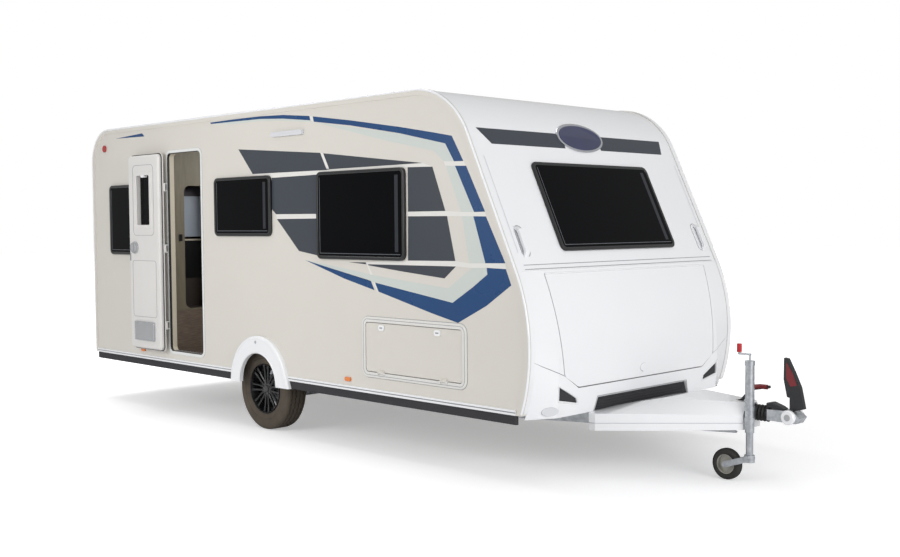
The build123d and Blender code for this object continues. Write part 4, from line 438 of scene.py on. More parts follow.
def oval(name, half_width, half_height, low, high, look):
    """Low domed oval on the leaning front."""
    verts, faces = [], []
    for share, out in ((1.0, low), (1.0, high), (OVAL_TOP_SHARE, high + OVAL_DOME)):
        for step in range(OVAL_STEPS):
            angle = 2 * math.pi * step / OVAL_STEPS
            z = OVAL_Z + share * half_height * math.sin(angle)
            verts.append((front_x(z, out), share * half_width * math.cos(angle), z))
    for level in range(2):
        for step in range(OVAL_STEPS):
            a, b = level * OVAL_STEPS + step, level * OVAL_STEPS + (step + 1) % OVAL_STEPS
            faces.append([a, b, b + OVAL_STEPS, a + OVAL_STEPS])
    faces.append([2 * OVAL_STEPS + step for step in range(OVAL_STEPS)])
    piece(name, verts, faces, look, slot="gloss_white")


oval("plaque_rim", 0.25, 0.105, -0.01, 0.008, "silver_trim")
oval("plaque_face", 0.232, 0.09, 0.004, 0.010, "navy_enamel")

# Window frames: black surround with a raised pane inside it, and painted highlights on the pane.
# Columns:
# side, shares of the body's length where the pane starts and ends, shares of its height at the sill
# and the head
PANE_PROUD = 0.02
PANE_GROW = 0.001
PANE_BORDER = 0.0255
PANE_CORNERS = (0.0465, 0.024)
PANE_INSET = 0.04
# Width of the painted highlight line, then size and place of the painted highlight strip on each
# pane
STEP_HIGHLIGHT_WIDTH = 0.005
HIGHLIGHT_WIDTH = 0.035
HIGHLIGHT_INSET = 0.02
HIGHLIGHT_DROP = 0.01
SUNK = 0.002
WINDOWS = (
    (-1, 0.0628, 0.1735, 0.4628, 0.7581),
    (-1, 0.3808, 0.5220, 0.5428, 0.7628),
    (-1, 0.6260, 0.8000, 0.4665, 0.7628),
    (1, 0.0620, 0.1900, 0.4628, 0.7581),
    (1, 0.3808, 0.5220, 0.5428, 0.7628),
    (1, 0.6260, 0.8000, 0.4665, 0.7628),
)


def box_mesh(low, high):
    """Vertices and faces of a box between two corners."""
    outline = [(low[0], low[1]), (high[0], low[1]), (high[0], high[1]), (low[0], high[1])]
    return prism(outline, low[2], high[2], lambda u, v, w: (u, v, w))


def join(*parts):
    """Several lots of vertices and faces as one."""
    verts, faces = [], []
    for more_verts, more_faces in parts:
        start = len(verts)
        verts += list(more_verts)
        faces += [[start + i for i in face] for face in more_faces]
    return verts, faces


def pane_trim(name, mid, size, place, proud):
    """Black frame of one window pane, with a painted highlight line and a painted highlight strip
    on it.
    """
    border(f"{name}_frame", mid, (size[0] + PANE_GROW, size[1] + PANE_GROW), PANE_BORDER,
           PANE_CORNERS, (0.0005, proud + 0.0025), place, "black_trim", bevel=0.006, segments=3,
           slot="tinted_acrylic")
    left, right = mid[0] - size[0] / 2 + PANE_INSET, mid[0] + size[0] / 2 - PANE_INSET
    low, high = mid[1] - size[1] / 2 + PANE_INSET, mid[1] + size[1] / 2 - PANE_INSET
    # Light L along the pane's left and bottom edges: painted highlight where the pane's step
    # catches light
    bend = (left + STEP_HIGHLIGHT_WIDTH, low + STEP_HIGHLIGHT_WIDTH)
    flats = []
    for corners in (
        ((left, low), (bend[0], low), (bend[0], high), (left, high)),
        ((bend[0], low), (right, low), (right, bend[1]), bend),
    ):
        flats.append(prism(list(corners), proud - SUNK, proud + 0.0004, place))
    piece(f"{name}_line", *join(*flats), "glass_line", slot="tinted_acrylic")
    # Lighter strip near the pane's right edge: painted highlight
    far, foot, head = right - HIGHLIGHT_INSET, low + HIGHLIGHT_INSET, high - HIGHLIGHT_DROP
    near = far - HIGHLIGHT_WIDTH
    highlight_strip = [(near, foot), (far, foot), (far, head), (near, head)]
    piece(f"{name}_shine", *prism(highlight_strip, proud - SUNK, proud + 0.0003, place), "glass_shine",
          slot="tinted_acrylic")


for number, (side, low, high, sill, head) in enumerate(WINDOWS):
    mid = ((along(low) + along(high)) / 2, (up(sill) + up(head)) / 2)
    size = (along(high) - along(low), up(head) - up(sill))
    pane_trim(f"window_{number}", mid, size, on_side(side), PANE_PROUD)

FRONT_PANE_LOW, FRONT_PANE_HIGH = 1.447, 2.037
FRONT_MID_Z = (FRONT_PANE_LOW + FRONT_PANE_HIGH) / 2


def on_front(u, v, w):
    """Mapping from (y, height up the slope, out) to the row frame on the leaning front."""
    x = front_x(FRONT_MID_Z) - v * math.sin(LEAN) + w * math.cos(LEAN)
    return (x, u, FRONT_MID_Z + v * math.cos(LEAN) + w * math.sin(LEAN))


front_rise = (FRONT_PANE_HIGH - FRONT_PANE_LOW) / math.cos(LEAN)
pane_trim("front_window", (0, 0), (1.292, front_rise), on_front, 0.016)
pane_trim("rear_window", (0, 1.7), (1.3, 0.62), on_rear, PANE_PROUD)

# Seams of the front panel: two ledge lines over the locker lid; creases beside the front window in
# painted shade
LINE_HALF = 0.002
LINE_PROUD = 0.0012
LEDGE_HALF = 1.06
LEDGE_STEPS = 40
CREASE_STEPS = 12
CREASE_LOW = 1.45
CREASE_TALL = 0.62
CREASE_EDGES = (1.068, 1.073)
for number, z in enumerate((1.345, 1.372)):
    verts = []
    for level in (z - LINE_HALF, z + LINE_HALF):
        for step in range(LEDGE_STEPS + 1):
            y = LEDGE_HALF * (2 * step / LEDGE_STEPS - 1)
            verts.append((front_x(level, LINE_PROUD), y, level))
    faces = [[i, i + 1, LEDGE_STEPS + 2 + i, LEDGE_STEPS + 1 + i] for i in range(LEDGE_STEPS)]
    piece(f"ledge_line_{number}", verts, faces, "seam_grey", slot="gloss_white")
# Crease lines: light grey strips of painted shade along the creases beside the front window
for word, side in SIDES:
    verts = []
    for step in range(CREASE_STEPS + 1):
        z = CREASE_LOW + CREASE_TALL * step / CREASE_STEPS
        for y in CREASE_EDGES:
            verts.append((front_x(z, 0.001), side * y, z))
    faces = [[2 * i, 2 * i + 1, 2 * i + 3, 2 * i + 2] for i in range(CREASE_STEPS)]
    piece(f"crease_line_{word}", verts, faces, "painted_crease_shade", slot="gloss_white")


def tube(name, points, radius, look, closed=False, sides=12):
    """Round rod along points in the row frame."""
    curve = bpy.data.curves.new(name, "CURVE")
    curve.dimensions = "3D"
    curve.bevel_depth = radius
    curve.bevel_resolution = max(sides // 4 - 1, 1)
    curve.use_fill_caps = True
    line = curve.splines.new("POLY")
    line.points.add(len(points) - 1)
    for spot, place in zip(line.points, points):
        spot.co = (*place, 1)
    line.use_cyclic_u = closed
    made = bpy.data.objects.new(name, curve)
    bpy.context.scene.collection.objects.link(made)
    graph = bpy.context.evaluated_depsgraph_get()
    mesh = bpy.data.meshes.new_from_object(made.evaluated_get(graph))
    solid = bpy.data.objects.new(name, mesh)
    bpy.data.objects.remove(made)
    bpy.context.scene.collection.objects.link(solid)
    solid.data.materials.clear()
    dress(solid, look, "body", True)


def lathe(profile, segments, place):
    """Closed profile (along, radius) turned about an axis; place maps (along, across, up)."""
    count = len(profile)
    verts, faces = [], []
    for turn in range(segments):
        angle = 2 * math.pi * turn / segments
        for along_axis, radius in profile:
            verts.append(place(along_axis, radius * math.cos(angle), radius * math.sin(angle)))
    for turn in range(segments):
        here, there = turn * count, (turn + 1) % segments * count
        for i in range(count):
            j = (i + 1) % count
            faces.append([here + i, there + i, there + j, here + j])
    return verts, faces


def disc(centre, radius, low, high, place, steps=32):
    """Short cylinder at (u, v) between two depths."""
    turns = [2 * math.pi * i / steps for i in range(steps)]
    outline = [(centre[0] + radius * math.cos(a), centre[1] + radius * math.sin(a)) for a in turns]
    return prism(outline, low, high, place)


# White edge of the corner rails and the strip that they lay over the front, roof and rear
TAIL_CENTRE = (REAR_X + TAIL_RADIUS, ROOF_Z - TAIL_RADIUS)
EDGE_INSET = 0.001
EDGE_R = 0.0085
STRIP_INSET = 0.011
STRIP_PROUD = 0.0062
NOSE_STEPS, NOSE_RISE = 30, 0.03
BROW_STEPS = 32
TAIL_STEPS = 24
GRAB_Y = 0.995
GRAB_RISE = (1.52 - FRONT_MID_Z) / math.cos(LEAN)


def arc_points(centre, radius, start, turn, steps):
    """Points on an arc that starts at an angle and turns by another one."""
    turns = [start + turn * step / steps for step in range(steps + 1)]
    return [(centre[0] + radius * math.cos(a), centre[1] + radius * math.sin(a)) for a in turns]


def body_line(out):
    """Points (x, z) over the front, the roof and the rear, offset outward."""
    levels = [RAIL_LOW + NOSE_RISE * step for step in range(NOSE_STEPS + 1)]
    points = [(front_x(z, out), z) for z in levels]
    points += arc_points(BROW_CENTRE, BROW_RADIUS + out, LEAN, math.pi / 2 - LEAN, BROW_STEPS)
    points += [(x, ROOF_Z + out) for x in (0.2, -1.0, -2.2)]
    points += arc_points(TAIL_CENTRE, TAIL_RADIUS + out, math.pi / 2, math.pi / 2, TAIL_STEPS)
    return points + [(REAR_X - out, z) for z in (1.6, 1.0, RAIL_LOW)]


for word, side in SIDES:
    edge_line = [(x, side * (SIDE_Y - EDGE_INSET), z) for x, z in body_line(-EDGE_INSET)]
    tube(f"rail_edge_{word}", edge_line, EDGE_R, "gloss_white")
    verts = [(x, side * y, z) for x, z in body_line(STRIP_PROUD)
             for y in (SIDE_Y - RAIL_RETURN, SIDE_Y - STRIP_INSET)]
    faces = [[i, i + 1, i + 3, i + 2] for i in range(0, len(verts) - 2, 2)]
    piece(f"rail_strip_{word}", verts, faces, "gloss_white", smooth=True, slot="gloss_white")
    # Grey outline round each grab handle's recess: painted shade
    border(f"grab_outline_{word}", (side * GRAB_Y, GRAB_RISE), (0.082, 0.222), 0.006, (0.04, 0.034),
           (-0.002, 0.0016), on_front, "shade_grey", steps=10, slot="gloss_white")

# Entrance door: seal, relief lines and thumb notch in painted shade, window surround, bin lid and
# lock on the folded leaf
LEAF_MID = DOOR_X - DOOR_WIDTH / 2
DOOR_MID_Z = (DOOR_LOW + DOOR_HIGH) / 2
DOOR_TALL = DOOR_HIGH - DOOR_LOW
LEAF_BACK = -0.037
LEAF_PANE = (LEAF_MID, 1.861)
LEAF_LOWER = (LEAF_MID, 1.08)
LEAF_BIN = (LEAF_MID, 0.706)
LOCK = (LEAF_MID - DOOR_WIDTH / 2 + 0.112, 1.443)


def on_leaf(u, v, w):
    """Mapping from (x, z, out) to the row frame on the folded leaf's face."""
    return (u, LEAF_FACE_Y - w, v)


# Columns: name, middle, size, width, corner radii, depths, look, bevel, slot
for name, mid, size, width, corners, depths, look, bevel, slot in (
    ("door_seal", (LEAF_MID, DOOR_MID_Z), (DOOR_WIDTH + 0.006, DOOR_TALL + 0.006), 0.008,
     (0.045, 0.037), (LEAF_BACK - 0.0005, LEAF_BACK + 0.006), "seal_rubber", 0.002,
     "door_moulding"),
    ("door_window_surround", LEAF_PANE, (0.282, 0.504), 0.035, (0.03, 0.013), (-0.004, 0.005),
     "door_moulding", 0.003, "door_moulding"),
    # Relief lines: thin grey outlines of painted shade along the leaf's moulded reliefs
    ("door_window_relief", LEAF_PANE, (0.352, 0.62), 0.003, (0.045, 0.042), (-0.002, 0.0014),
     "seam_grey", 0.0, "door_moulding"),
    ("door_lower_relief", LEAF_LOWER, (0.4, 0.5), 0.003, (0.03, 0.027), (-0.002, 0.0014),
     "seam_grey", 0.0, "door_moulding"),
    ("door_bin_rim", LEAF_BIN, (0.326, 0.164), 0.008, (0.014, 0.01), (0.013, 0.018), "silver_trim",
     0.002, "fitting_silver"),
):
    border(name, mid, size, width, corners, depths, on_leaf, look, "door", bevel=bevel, slot=slot)
plate("door_window_catch", (LEAF_MID, 2.07), (0.05, 0.02), 0.006, (-0.03, 0.008), on_leaf,
      "white_vinyl", "door", bevel=0.002, slot="door_moulding")
piece("door_lock_cap", *disc(LOCK, 0.046, 0.013, 0.03, on_leaf, 48), "fitting_silver", "door",
      bevel=0.004, segments=3, slot="fitting_silver")
plate("door_lock_paddle", LOCK, (0.03, 0.07), 0.012, (0.028, 0.037), on_leaf, "shade_grey", "door",
      bevel=0.003, slot="fitting_silver")
# Thumb notch: grey mark of painted shade
plate("door_thumb_notch", (LEAF_MID - 0.235, 1.36), (0.016, 0.07), 0.007, (-0.001, 0.003), on_leaf,
      "seam_grey", "door", slot="door_moulding")

# Doorway: seal, beige liner and sill strip in the jamb, partition with its niche behind it
OPENING = (DOOR_X + DOOR_WIDTH / 2, DOOR_MID_Z)

# Columns: name, growth over the opening, width, growth of the corner radii, depths, look, bevel
for name, grow, width, corners, depths, look, bevel in (
    ("jamb_seal", -0.0004, 0.0033, (0.0, -0.0035), (-1.143, -1.131), "seal_rubber", 0.002),
    ("jamb_liner", -0.0004, 0.0023, (0.0, -0.0025), (-1.1305, -1.087), "liner_beige", 0.0),
    ("lip_shadow_line", 0.05, 0.0025, (0.024, 0.022), (-1.1512, -1.1499), "seam_grey", 0.0),
    ("doorway_seal", 0.0, 0.005, (0.0, -0.005), (-1.1528, -1.135), "seal_rubber", 0.0),
):
    border(name, OPENING, (DOOR_WIDTH + grow, DOOR_TALL + grow), width,
           (DOOR_CORNER + corners[0], DOOR_CORNER + corners[1]), depths, across, look, bevel=bevel,
           slot="frame_grey")
piece("sill_strip", *box_mesh((-1.985, -1.12, 0.5445), (-1.543, -1.09, 0.551)), "silver_trim",
      bevel=0.001, slot="frame_grey")


def on_partition(u, v, w):
    """Mapping from (y, z, forward) to the row frame on the galley's front."""
    return (GALLEY_X + w, u, v)


# Places of the partition and of the niche in it
PARTITION_RIGHT, PARTITION_LEFT = -1.11, -0.603
CABIN_FLOOR = 0.495
NICHE_BACK, NICHE_FRONT = -2.25, -2.092
NICHE_RIGHT, NICHE_LEFT = -0.978, -0.617
NICHE_LOW, NICHE_HIGH = 0.905, 1.985
PANEL_BACK, PANEL_RIGHT, PANEL_LEFT = -2.26, -0.98, -0.615
niche = round_rect(-0.7975, 1.445, 0.351, 1.086, 0.058)
sheet = round_rect(-0.8565, 1.485, 0.509, 1.19, 0.004)
piece("partition_sheet", *ring(sheet, niche, 0.0002, 0.004, on_partition), "partition_olive",
      slot="board")


def board(name, low, high, look, bevel=0.0):
    """Box of board between two corners."""
    piece(name, *box_mesh(low, high), look, bevel=bevel, slot="board")


board("partition_head", (GALLEY_X, PARTITION_RIGHT, 2.08), (GALLEY_X + 0.004, PARTITION_LEFT, 2.48),
      "partition_olive")
board("partition_front", (GALLEY_X, PARTITION_RIGHT, CABIN_FLOOR),
      (GALLEY_X + 0.006, PARTITION_LEFT, 0.888), "front_taupe", bevel=0.001)
board("partition_edge", (GALLEY_X - 0.01, -0.6015, CABIN_FLOOR), (GALLEY_X + 0.008, -0.593, 2.45),
      "liner_beige")
# Panels on the niche's back: the crown is painted shade under the niche's top, and the blue panel
# has its own colour made paler to stand in for light. Columns: name, low, high, look
for name, low, high, look in (
    ("niche_crown", 1.9, NICHE_HIGH, "niche_purple"),
    ("niche_panel", 1.535, 1.9, "niche_blue"),
    ("niche_band", 1.5, 1.515, "liner_beige"),
    ("niche_dark", 1.16, 1.5, "black_trim"),
    ("niche_foot", NICHE_LOW, 1.16, "niche_brown"),
):
    board(name, (PANEL_BACK, PANEL_RIGHT, low), (NICHE_BACK, PANEL_LEFT, high), look)
# One side of the niche is painted shade, like the crown
board("niche_side", (NICHE_BACK, NICHE_LEFT, NICHE_LOW), (NICHE_FRONT, -0.609, NICHE_HIGH),
      "niche_purple")
board("niche_other_side", (NICHE_BACK, -0.985, NICHE_LOW), (NICHE_FRONT, NICHE_RIGHT, NICHE_HIGH),
      "niche_brown")
board("niche_shelf", (NICHE_BACK, NICHE_RIGHT, 0.895), (NICHE_FRONT, NICHE_LEFT, NICHE_LOW),
      "niche_brown")
board("entrance_switch", (GALLEY_X + 0.003, -1.03, 1.5), (GALLEY_X + 0.012, -1.0, 1.56),
      "black_trim", bevel=0.001)

# Service hatch: painted shade lines in the groove of its frame and round its edge, and white
# latches with
# painted shade slots. Shares of the body: rear, front, low, high
HATCH = (along(0.7150), along(0.9035), up(0.0814), up(0.2814))
hatch_mid = ((HATCH[0] + HATCH[1]) / 2, (HATCH[2] + HATCH[3]) / 2)
hatch_size = (HATCH[1] - HATCH[0], HATCH[3] - HATCH[2])
right_side = on_side(-1)
LATCH_SHARES = (0.2, 0.74)
LATCH_DROP = 0.074
border("hatch_frame_groove", hatch_mid, (hatch_size[0] - 0.032, hatch_size[1] - 0.032), 0.003,
       (0.044, 0.041), (0.006, 0.0088), right_side, "seam_grey", slot="hatch_grey")
border("hatch_frame_shadow", hatch_mid, (hatch_size[0] + 0.006, hatch_size[1] + 0.006), 0.004,
       (0.063, 0.059), (0.0, 0.0012), right_side, "seam_grey", slot="hatch_grey")
for number, share in enumerate(LATCH_SHARES):
    spot = (HATCH[0] + share * hatch_size[0], HATCH[3] - LATCH_DROP)
    plate(f"hatch_latch_{number}", spot, (0.064, 0.042), 0.0209, (0.004, 0.0105), right_side,
          "white_vinyl", "hatch", bevel=0.002, slot="hatch_grey")
    # Dark slot in each latch: painted shade
    plate(f"hatch_latch_slot_{number}", spot, (0.03, 0.008), 0.003, (0.009, 0.0112), right_side,
          "seam_grey", "hatch", slot="hatch_grey")

# Base rail grooves lined with painted shade, spat beads and buttons
GROOVE_LOW, GROOVE_HIGH = 0.454, 0.46
GROOVE_SPANS = ((REAR_X + 0.04, ARCH_X - 0.38), (ARCH_X + 0.372, 2.02))
# Columns: radius about the arch, distance from the skin, thickness
BEADS = ((0.247, 0.0315, 0.0045), (0.352, 0.0325, 0.002))
BEAD_START = math.radians(2)
BEAD_STEPS = 60
for word, side in SIDES:
    place = on_side(side)
    for number, (low, high) in enumerate(GROOVE_SPANS):
        groove = [(low, GROOVE_LOW), (high, GROOVE_LOW), (high, GROOVE_HIGH), (low, GROOVE_HIGH)]
        piece(f"rail_groove_{word}_{number}", *prism(groove, 0.004, 0.0062, place), "seam_grey",
              slot="gloss_white")
    for number, (radius, out, thick) in enumerate(BEADS):
        arc = arc_points((ARCH_X, ARCH_Z), radius, BEAD_START, math.pi - 2 * BEAD_START, BEAD_STEPS)
        points = [place(x, z, out) for x, z in arc]
        tube(f"spat_bead_{word}_{number}", points, thick, "gloss_white")
    piece(f"spat_button_{word}", *disc((-0.706, 0.711), 0.012, 0.03, 0.034, place, 20),
          "shade_grey", slot="gloss_white")

# Road wheels: tyre with rounded walls and zigzag grooves, and a twin-spoke rim
WHEEL_Y = 0.9905
RIM_R = 0.198
TREAD_R = 0.3268
GROOVE_R = 0.3185
GROOVES = (-0.055, -0.019, 0.019, 0.055)
GROOVE_TOP_HALF = 0.006
GROOVE_FOOT_HALF = 0.0035
ZIGZAG = 0.0035
TYRE_STEPS = 180
# Columns: half width, radius, from the bead to the shoulder
TYRE_WALL = [(0.0795, RIM_R + 0.001), (0.083, 0.206), (0.094, 0.232), (0.0972, 0.262),
             (0.0965, 0.29), (0.09, 0.31), (0.0775, 0.3235)]
# Columns: reach from the axle, half width, sideways lean, depth of the front edge
SPOKE_ROWS = ((0.04, 0.010, 0.012, 0.064), (0.09, 0.0085, 0.018, 0.066),
              (0.15, 0.009, 0.0225, 0.068), (0.186, 0.0115, 0.027, 0.074))
SPOKE_DEEP = 0.016
SPOKE_RIDGE = 0.004
SPOKE_PAIRS = 8
BOLTS = 5
BOLT_CIRCLE = 0.043


def wheel_turned(side):
    """Mapping from (outward, across, up) about the axle to the row frame."""
    return lambda a, u, v: (AXLE_X + u, side * (WHEEL_Y + a), WHEEL_Z + v)


def wheel_flat(side):
    """Mapping from (across, up, outward) about the axle to the row frame."""
    return lambda u, v, w: (AXLE_X + u, side * (WHEEL_Y + w), WHEEL_Z + v)


def tyre_piece(word, side):
    """Detailed tyre on the axle at one side."""
    profile = [(-half, radius) for half, radius in TYRE_WALL]
    for centre in GROOVES:
        profile += [(centre - GROOVE_TOP_HALF, TREAD_R), (centre - GROOVE_FOOT_HALF, GROOVE_R),
                    (centre + GROOVE_FOOT_HALF, GROOVE_R), (centre + GROOVE_TOP_HALF, TREAD_R)]
    profile += TYRE_WALL[::-1]
    place = wheel_turned(side)
    verts, faces = lathe(profile, TYRE_STEPS, place)
    count = len(profile)
    shifted = []
    for index, vert in enumerate(verts):
        turn, spot = divmod(index, count)
        if len(TYRE_WALL) <= spot < len(TYRE_WALL) + 4 * len(GROOVES):
            vert = (vert[0], vert[1] + side * (ZIGZAG if turn // 2 % 2 else -ZIGZAG), vert[2])
        shifted.append(vert)
    made = piece(f"road_tyre_{word}", shifted, faces, "tyre", f"wheel_{word}", slot="tyre")
    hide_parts(f"tyre_{word}")
    lines = [lathe([(0.0955, 0.243), (0.0975, 0.246), (0.0955, 0.249)], 120, place),
             lathe([(0.0855, 0.214), (0.0885, 0.217), (0.088, 0.22)], 120, place)]
    piece(f"tyre_rings_{word}", *join(*lines), "tyre", f"wheel_{word}", smooth=True, slot="tyre")


def rim_piece(word, side):
    """Detailed rim: barrel, flange, hub, eight pairs of spokes and bolts."""
    body = f"wheel_{word}"
    place, flat = wheel_turned(side), wheel_flat(side)
    barrel = lathe([(0.0868, 0.1975), (0.0868, 0.191), (0.07, 0.186), (0.03, 0.176), (-0.06, 0.176),
                    (-0.0868, 0.188), (-0.0868, 0.1975)], 128, place)
    made = piece(f"rim_barrel_{word}", *barrel, "black_alloy", body, slot="black_alloy")
    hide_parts(f"rim_{word}")
    # Lighter lip on the rim's edge: painted glint
    lip = lathe([(0.0845, 0.1975), (0.0868, 0.1975), (0.0868, 0.194), (0.0845, 0.194)], 128, place)
    piece(f"rim_edge_{word}", *lip, "alloy_edge", body, smooth=True, slot="black_alloy")
    spokes = []
    for number in range(SPOKE_PAIRS):
        turn = math.radians(360 / SPOKE_PAIRS * number)
        cos, sin = math.cos(turn), math.sin(turn)
        for way in (-1, 1):
            verts, faces = [], []
            for reach, half, lean_out, front in SPOKE_ROWS:
                mid, back = way * lean_out, front - SPOKE_DEEP
                for v, w in ((mid - half, front), (mid, front + SPOKE_RIDGE), (mid + half, front),
                             (mid + half, back), (mid - half, back)):
                    verts.append(flat(reach * cos - v * sin, reach * sin + v * cos, w))
            for level in range(len(SPOKE_ROWS) - 1):
                for i in range(5):
                    j = (i + 1) % 5
                    faces.append([5 * level + i, 5 * level + j, 5 * level + 5 + j,
                                  5 * level + 5 + i])
            faces += [[0, 1, 2, 3, 4], [15, 16, 17, 18, 19]]
            spokes.append((verts, faces))
    piece(f"rim_spokes_{word}", *join(*spokes), "black_alloy", body, bevel=0.0016,
          slot="black_alloy")
    hub = lathe([(0.034, 0.02), (0.034, 0.054), (0.06, 0.056), (0.066, 0.05), (0.067, 0.02)],
                64, place)
    piece(f"rim_hub_{word}", *hub, "black_alloy", body, bevel=0.001, slot="black_alloy")
    cap = lathe([(0.05, 0.002), (0.05, 0.03), (0.07, 0.03), (0.0745, 0.026), (0.0755, 0.002)],
                48, place)
    piece(f"rim_cap_{word}", *cap, "black_alloy", body, slot="black_alloy")
    turns = [math.radians(360 / BOLTS * i + 90) for i in range(BOLTS)]
    spots = [(BOLT_CIRCLE * math.cos(a), BOLT_CIRCLE * math.sin(a)) for a in turns]
    bolts = [disc(spot, 0.0065, 0.06, 0.072, flat, 6) for spot in spots]
    piece(f"rim_bolts_{word}", *join(*bolts), "alloy_edge", body, bevel=0.001, slot="black_alloy")


for word, side in SIDES:
    tyre_piece(word, side)
    rim_piece(word, side)

# Jockey wheel's tyre with rounded edges and ribs
JOCKEY_BACK = 0.242
JOCKEY_TRAIL = 0.157
JOCKEY_Y = -0.092
JOCKEY_R = 0.1
JOCKEY = (BALL[0] - JOCKEY_BACK - JOCKEY_TRAIL, JOCKEY_Y, JOCKEY_R)
profile = [(-0.0255, 0.0625), (-0.0258, 0.082), (-0.023, 0.093), (-0.016, 0.0985), (-0.006, 0.0998),
           (-0.004, 0.0975), (0.004, 0.0975), (0.006, 0.0998), (0.016, 0.0985), (0.023, 0.093),
           (0.0258, 0.082), (0.0255, 0.0625)]
jockey_mesh = lathe(profile, 96, lambda a, u, v: (JOCKEY[0] + u, JOCKEY[1] + a, JOCKEY[2] + v))
jockey_rubber = piece("jockey_rubber", *jockey_mesh, "jockey_black", "jockey_wheel", smooth=True,
                      slot="tyre")
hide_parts("jockey_tyre")

# Front bumper: borders of the grille and the vents, and painted shade in the slots of the lid's
# handle
BORDER_STEPS = 12
BORDER_R = 0.004
for name, outline, look in (
    ("grille_border", [(-0.512, 0.505), (-0.546, 0.404), (0.546, 0.404), (0.512, 0.505)],
     "shade_grey"),
    ("vent_border_right", [(-0.914, 0.612), (-0.728, 0.52), (-0.717, 0.478), (-0.912, 0.511)],
     "gloss_white"),
    ("vent_border_left", [(0.914, 0.612), (0.728, 0.52), (0.717, 0.478), (0.912, 0.511)],
     "gloss_white"),
):
    points = []
    for number, corner in enumerate(outline):
        following = outline[(number + 1) % len(outline)]
        for step in range(BORDER_STEPS):
            y = corner[0] + (following[0] - corner[0]) * step / BORDER_STEPS
            z = corner[1] + (following[1] - corner[1]) * step / BORDER_STEPS
            points.append((lid_x(z, 0.0005), y, z))
    tube(name, points, BORDER_R, look, closed=True)


def on_lid(u, v, w):
    """Mapping from (y, z, out) to the row frame on the locker lid."""
    return (lid_x(v, w), u, v)


for word, side in SIDES:
    handle_shade_outline = [(side * 0.018, 0.652), (side * 0.036, 0.65), (side * 0.03, 0.622),
                 (side * 0.02, 0.62)]
    piece(f"lid_handle_shade_{word}", *prism(handle_shade_outline, -0.002, 0.0022, on_lid), "seam_grey", "lid",
          slot="gloss_white")

# Painted shade along the crease on each side of the drawbar cover. Columns: share of its length,
# half width, z
COVER_REAR_X = 2.154
COVER_LENGTH = 0.834
COVER_CREASE = ((0.005, 0.58, 0.348), (0.036, 0.632, 0.35), (0.096, 0.632, 0.351),
                (0.414, 0.455, 0.36), (0.998, 0.106, 0.373))
for word, side in SIDES:
    points = [(COVER_REAR_X + share * COVER_LENGTH, side * half, z)
              for share, half, z in COVER_CREASE]
    tube(f"cover_crease_{word}", points, 0.0025, "painted_crease_shade")

# Hitch: handbrake grip, coupling handle, inlays of the stabiliser lever and centres of its pads
tube("brake_grip", [(2.975, 0, 0.583), (3.005, 0, 0.593), (3.05, 0, 0.6), (3.098, 0, 0.6)],
     0.0155, "lever_red", sides=20)
piece("brake_button", *disc((0, 0.6), 0.008, 3.096, 3.112, lambda u, v, w: (w, u, v), 16),
      "black_trim", slot="lever_black")
handle = [(3.106, 0.475), (3.106, 0.506), (3.14, 0.512), (3.2, 0.492), (3.226, 0.478),
          (3.222, 0.47), (3.16, 0.474)]
piece("coupling_handle", *prism(handle, -0.03, 0.03, across), "lever_black", bevel=0.004,
      segments=3, slot="lever_black")
inlay = [(3.232, 0.77), (3.275, 0.705), (3.305, 0.63), (3.262, 0.62), (3.232, 0.67)]
for word, side in SIDES:
    piece(f"lever_inlay_{word}", *prism(inlay, side * 0.0148, side * 0.0162, across), "lever_red",
          bevel=0.0005, slot="lever_black")
    piece(f"pad_centre_{word}", *disc(BALL, 0.02, side * 0.0715, side * 0.0745, across, 32),
          "shade_grey", bevel=0.001, slot="gloss_white")

# Rear: lamp bands, bare plate, high lamp and seam
LAMP_WIDTH = 0.092
LAMP_INSET = 0.024
LAMP_Y = SIDE_Y - RAIL_RETURN - LAMP_WIDTH / 2 - LAMP_INSET
for word, side in SIDES:
    for name, look, low, high in (
        ("amber", "amber_lens", 1.14, 1.3),
        ("clear", "clear_lens", 0.75, 0.84),
        ("reflector", "red_lens", 0.86, 0.95),
    ):
        plate(f"tail_{name}_{word}", (side * LAMP_Y, (low + high) / 2), (0.074, high - low), 0.012,
              (0.029, 0.0325), on_rear, look, bevel=0.001, slot="red_lens")
plate("bare_plate", (0, 0.495), (0.52, 0.11), 0.006, (0.0455, 0.048), on_rear, "white_vinyl",
      slot="gloss_white")
plate("rear_high_lamp", (0, 2.3), (0.3, 0.022), 0.01, (0.0, 0.012), on_rear, "red_lens",
      bevel=0.002, slot="red_lens")
seam = [(-1.1, 1.2), (1.1, 1.2), (1.1, 1.204), (-1.1, 1.204)]
piece("rear_seam", *prism(seam, 0.0, 0.001, on_rear), "seam_grey", slot="gloss_white")

# Left side: refrigerator vents and mains inlet
VENT_X = -1.75
SLATS = 9
SLAT_PITCH = 0.019
SLAT_SIZE = (0.39, 0.011)
left_side = on_side(1)
for number, z in enumerate((0.78, 1.16)):
    border(f"vent_frame_{number}", (VENT_X, z), (0.44, 0.23), 0.02, (0.02, 0.012), (0.0, 0.01),
           left_side, "gloss_white", bevel=0.003, slot="gloss_white")
    rows = [z + SLAT_PITCH * (i - (SLATS - 1) / 2) for i in range(SLATS)]
    slats = [prism(round_rect(VENT_X, row, *SLAT_SIZE, 0.003), 0.0, 0.008, left_side)
             for row in rows]
    piece(f"vent_slats_{number}", *join(*slats), "shade_grey", slot="gloss_white")
plate("mains_inlet", (0.55, 0.72), (0.15, 0.15), 0.02, (0.0, 0.016), left_side, "gloss_white",
      bevel=0.004, slot="gloss_white")
plate("mains_inlet_lid", (0.55, 0.722), (0.11, 0.11), 0.015, (0.015, 0.022), left_side,
      "shade_grey", bevel=0.003, slot="gloss_white")

# Cushions: soft boxes with piping. Columns: low and high corner (x, y)
CUSHIONS = (
    ((-3.332, 0.553), (-2.329, 1.113)),
    ((0.15, 0.553), (1.488, 1.113)),
    ((0.15, -1.113), (1.488, -0.553)),
)
